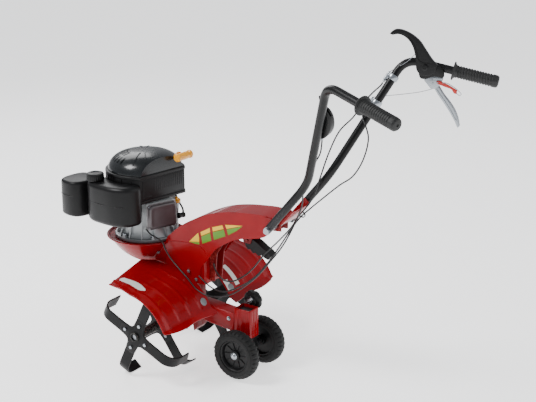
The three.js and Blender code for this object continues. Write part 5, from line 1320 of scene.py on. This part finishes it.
# %% Ferrule and tie
tip = Vector(throttle_upper[0])
ferrule = lathe("throttle_ferrule", [(0, 0), (3.4, 0), (3.4, 16), (2.6, 17), (2.6, 26), (0, 26)],
                facing(tip, tip + Vector((-9, 15, 44))), 24)
keep(ferrule, zinc, "throttle_box", replace=False)
tie_at = Vector((-404, -61, 526))
tie = lathe("cable_tie", [(12.4, -2.4), (14, -2.4), (14, 2.4), (12.4, 2.4), (12.4, -2.4)],
            facing(tie_at + Vector((1, -2, -3)), tie_at + (LOW_BEND - LOWER_END)), 40)
keep(tie, black_plastic, "handle_tube_right", replace=False)
print("wires, ferrule and tie done")

# %% [markdown]
# ## Pieces that keep their working shape
# Shafts, pulleys, the belt, the column and the height lock are already the right form, because they are
# plain machined or folded parts. They only need a broken edge and their own metal, paint or rubber.

# %% Finishes of the carried pieces
BROKEN_EDGE = 0.0006
carried = {"tine_shaft": steel, "worm_shaft": steel, "crankshaft": steel, "worm_wheel": bronze,
           "driven_pulley": iron, "drive_pulley": iron, "flywheel": cast_aluminium, "drive_belt": belt_rubber,
           # The column frame is red paint, and it takes the darker casting red so that it matches the shaded
           # red under the cover: its darker tone is partly painted shade.
           "tension_arm": zinc, "column_frame": dark_red_paint, "height_lock": black_plastic,
           "pivot_bolt": zinc}
for name, material in carried.items():
    node = nodes[name]
    node.data.materials.clear()
    node.data.materials.append(material)
    edges = node.modifiers.new("broken edges", "BEVEL")
    edges.width = BROKEN_EDGE
    edges.segments = 2
    edges.limit_method = "ANGLE"
    edges.angle_limit = math.radians(38)
print("carried pieces", len(carried))

# %% [markdown]
# ## Blank labels
# Machines like this carry stickers. Here they are plain coloured shapes with no words on them, laid a
# hair above the skin that they are stuck to: yellow and green shapes on the cover, and pale strips, an
# oval and grey discs on the guards.

# %% Shapes on the cover
LABEL_THICK = 0.3
SLOPE = Vector((-205, 0, 85)).normalized()
RISE = Vector((85, 0, 205)).normalized()


def on_cover(along, across):
    """A spot of the cover's cheek: so far back along its slope, and so far up across it."""
    spot = Vector((-65, 0, 405)) + SLOPE * along + RISE * across
    return spot.x, spot.z


cover_shapes = [
    ("front_wing", yellow_label, [(0, -2), (46, 17), (42, -1), (38, -11)]),
    ("front_wing_foot", lime_label, [(1, -3.5), (38, -12.5), (35, -19), (20, -13)]),
    ("front_bar", yellow_label, [(56, 17), (96, 22), (92, 9), (54, 5)]),
    ("front_bar_foot", lime_label, [(53, 3), (91, 7), (86, -17), (48, -19)]),
    ("rear_bar", yellow_label, [(106, 22), (146, 20), (146, 8), (103, 9)]),
    ("rear_bar_foot", lime_label, [(102, 7), (146, 6), (144, -15), (96, -17)]),
    ("rear_wing", yellow_label, [(157, 19), (220, 2), (157, 6)]),
    ("rear_wing_foot", lime_label, [(157, 4), (218, 0.5), (190, -8), (155, -14)]),
]
skin_y = COVER_HALF + 0.05
for name, material, line in cover_shapes:
    outline = [on_cover(along, across) for along, across in line]
    for side, word in SIDES:
        low, high = sorted((skin_y * side, (skin_y + LABEL_THICK) * side))
        shape = plate(f"cover_{name}_{word}", outline, low, high, local(), bevel=0.12)
        keep(shape, material, "upper_cover", replace=False)
print("cover shapes", len(cover_shapes) * 2)

# %% Shapes on the guards
LABEL_PROUD = 1.5


def guard_patch(name, y0, y1, start, end, node):
    """A thin patch on the right guard, between two steps of its rolled line."""
    rows = []
    for j in range(9):
        y = y0 + (y1 - y0) * j / 8
        rows.append([on_guard(-1, y, step, LABEL_PROUD) for step in range(start, end + 1)])
    return keep(sheet(name, rows, LABEL_THICK, offset=0), label, node, replace=False)


def guard_oval(name, y, half, start, end, node):
    """A thin oval on the left guard, between two steps of its rolled line."""
    rows = []
    for j in range(-4, 5):
        row = []
        for step in range(start, end + 1):
            t = 2 * (step - start) / (end - start) - 1
            row.append(on_guard(1, y + half * j / 4 * math.sqrt(max(0.03, 1 - t * t)), step, LABEL_PROUD))
        rows.append(row)
    return keep(sheet(name, rows, LABEL_THICK, offset=0), label, node, replace=False)


guard_patch("guard_label_right", 98, 120, 19, 29, "guard_right")
guard_patch("guard_label_right_inner", 56, 78, 25, 30, "guard_right")
guard_oval("guard_label_left", 236, 15, 4, 13, "guard_left")
for side, word in SIDES:
    x, z = polar(1, 147)
    out = Vector((x, 0, z))
    base = Vector((0, 74 * side, AXLE_Z)) + out * 161.2
    disc_line = [(0, 0), (13, 0), (13, 0.5), (12, 0.9), (0, 0.9)]
    disc = lathe(f"guard_disc_{word}", disc_line, facing(base, base + out), 48)
    keep(disc, grey_label, f"guard_{word}", replace=False)
print("labels done")

# %% [markdown]
# ## Last fittings
# A screw holds the deck to each side of the case, two more hold each guard's inner flange, and a shallow
# crease is pressed into each side of the cover. The crease is a thin bar that lies half in the sheet.

# %% Small bolts and the crease of the cover
CREASE_Y = 49.1
for side, word in SIDES:
    cone_spot, cone_out = Vector((55, 52 * side, 345)), Vector((-85, 52 * side, -75))
    head = hex_bolt(f"deck_bolt_{word}", facing(cone_spot, cone_spot + cone_out), 4.4, 3.6)
    keep(head, zinc, "lower_housing", replace=False)
    for index, (x, z) in enumerate(((-63, 306), (-92, 284))):
        spot = (x, 52.4 * side, z)
        head = hex_bolt(f"flange_screw_{word}_{index}", facing(spot, (x, 60 * side, z)), 4.6, 3.8)
        keep(head, zinc, f"guard_{word}", replace=False)
    crease = [(x, CREASE_Y * side, z) for x, z in ((20, 389), (-30, 397), (-80, 399), (-112, 392),
                                                   (-139, 365))]
    keep(bar(f"cover_crease_{word}", smooth(crease), 1.3, 4), red_paint, "upper_cover", replace=False)
print("near side bolts done")

# %% [markdown]
# ## The studio
# A pale floor that glows a little, one large soft lamp high on the engine's side, a fill from the handlebar's
# side and a weak one from behind keep the shadows open, so that the red reads as red and the black pieces
# still show their edges.

# %% Floor and light
floor_mesh = bpy.data.meshes.new("floor")
FAR = 9
floor_mesh.from_pydata([(-FAR, -FAR, 0), (FAR, -FAR, 0), (FAR, FAR, 0), (-FAR, FAR, 0)], [], [(0, 1, 2, 3)])
floor = bpy.data.objects.new("floor", floor_mesh)
bpy.context.scene.collection.objects.link(floor)
floor_paint = finish("floor paint", colour(250, 250, 250), 0.0, 0.75, 40.0, 0.02, dust=0.0, drift=0.005)
glow = floor_paint.node_tree.nodes["Principled BSDF"].inputs
glow["Emission Color"].default_value = (1.0, 1.0, 1.0, 1.0)
glow["Emission Strength"].default_value = 1.2
floor.data.materials.append(floor_paint)

world = bpy.data.worlds.new("studio")
world.use_nodes = True
world.node_tree.nodes["Background"].inputs["Color"].default_value = (0.93, 0.95, 1.0, 1.0)
world.node_tree.nodes["Background"].inputs["Strength"].default_value = 0.5
bpy.context.scene.world = world


MIDDLE = Vector((0, 0, 0.4))


def soft_lamp(name, place, power, size):
    lamp = bpy.data.lights.new(name, "AREA")
    lamp.energy = power
    lamp.size = size
    lit = bpy.data.objects.new(name, lamp)
    lit.location = place
    lit.rotation_mode = "QUATERNION"
    lit.rotation_quaternion = (MIDDLE - Vector(place)).to_track_quat("-Z", "Y")
    bpy.context.scene.collection.objects.link(lit)


soft_lamp("key", (1.5, 1.9, 3.4), 130, 1.2)
soft_lamp("fill", (-3.2, -1.4, 2.0), 40, 2.4)
soft_lamp("back", (2.6, -1.6, 2.6), 45, 1.8)

# %% Camera
LENS, SENSOR = 83.64, 36.0
VIEW_YAW, VIEW_PITCH = -56.648, -17.326
level, rise = polar(1, VIEW_PITCH)
looking = Vector((*polar(level, VIEW_YAW), rise))
camera = bpy.data.objects.new("camera", bpy.data.cameras.new("camera"))
camera.data.lens = LENS
camera.data.sensor_width = SENSOR
camera.location = at(-2270.5, 2955.7, 1669.9)
camera.rotation_mode = "QUATERNION"
camera.rotation_quaternion = looking.to_track_quat("-Z", "Y")
bpy.context.scene.collection.objects.link(camera)
bpy.context.scene.camera = camera
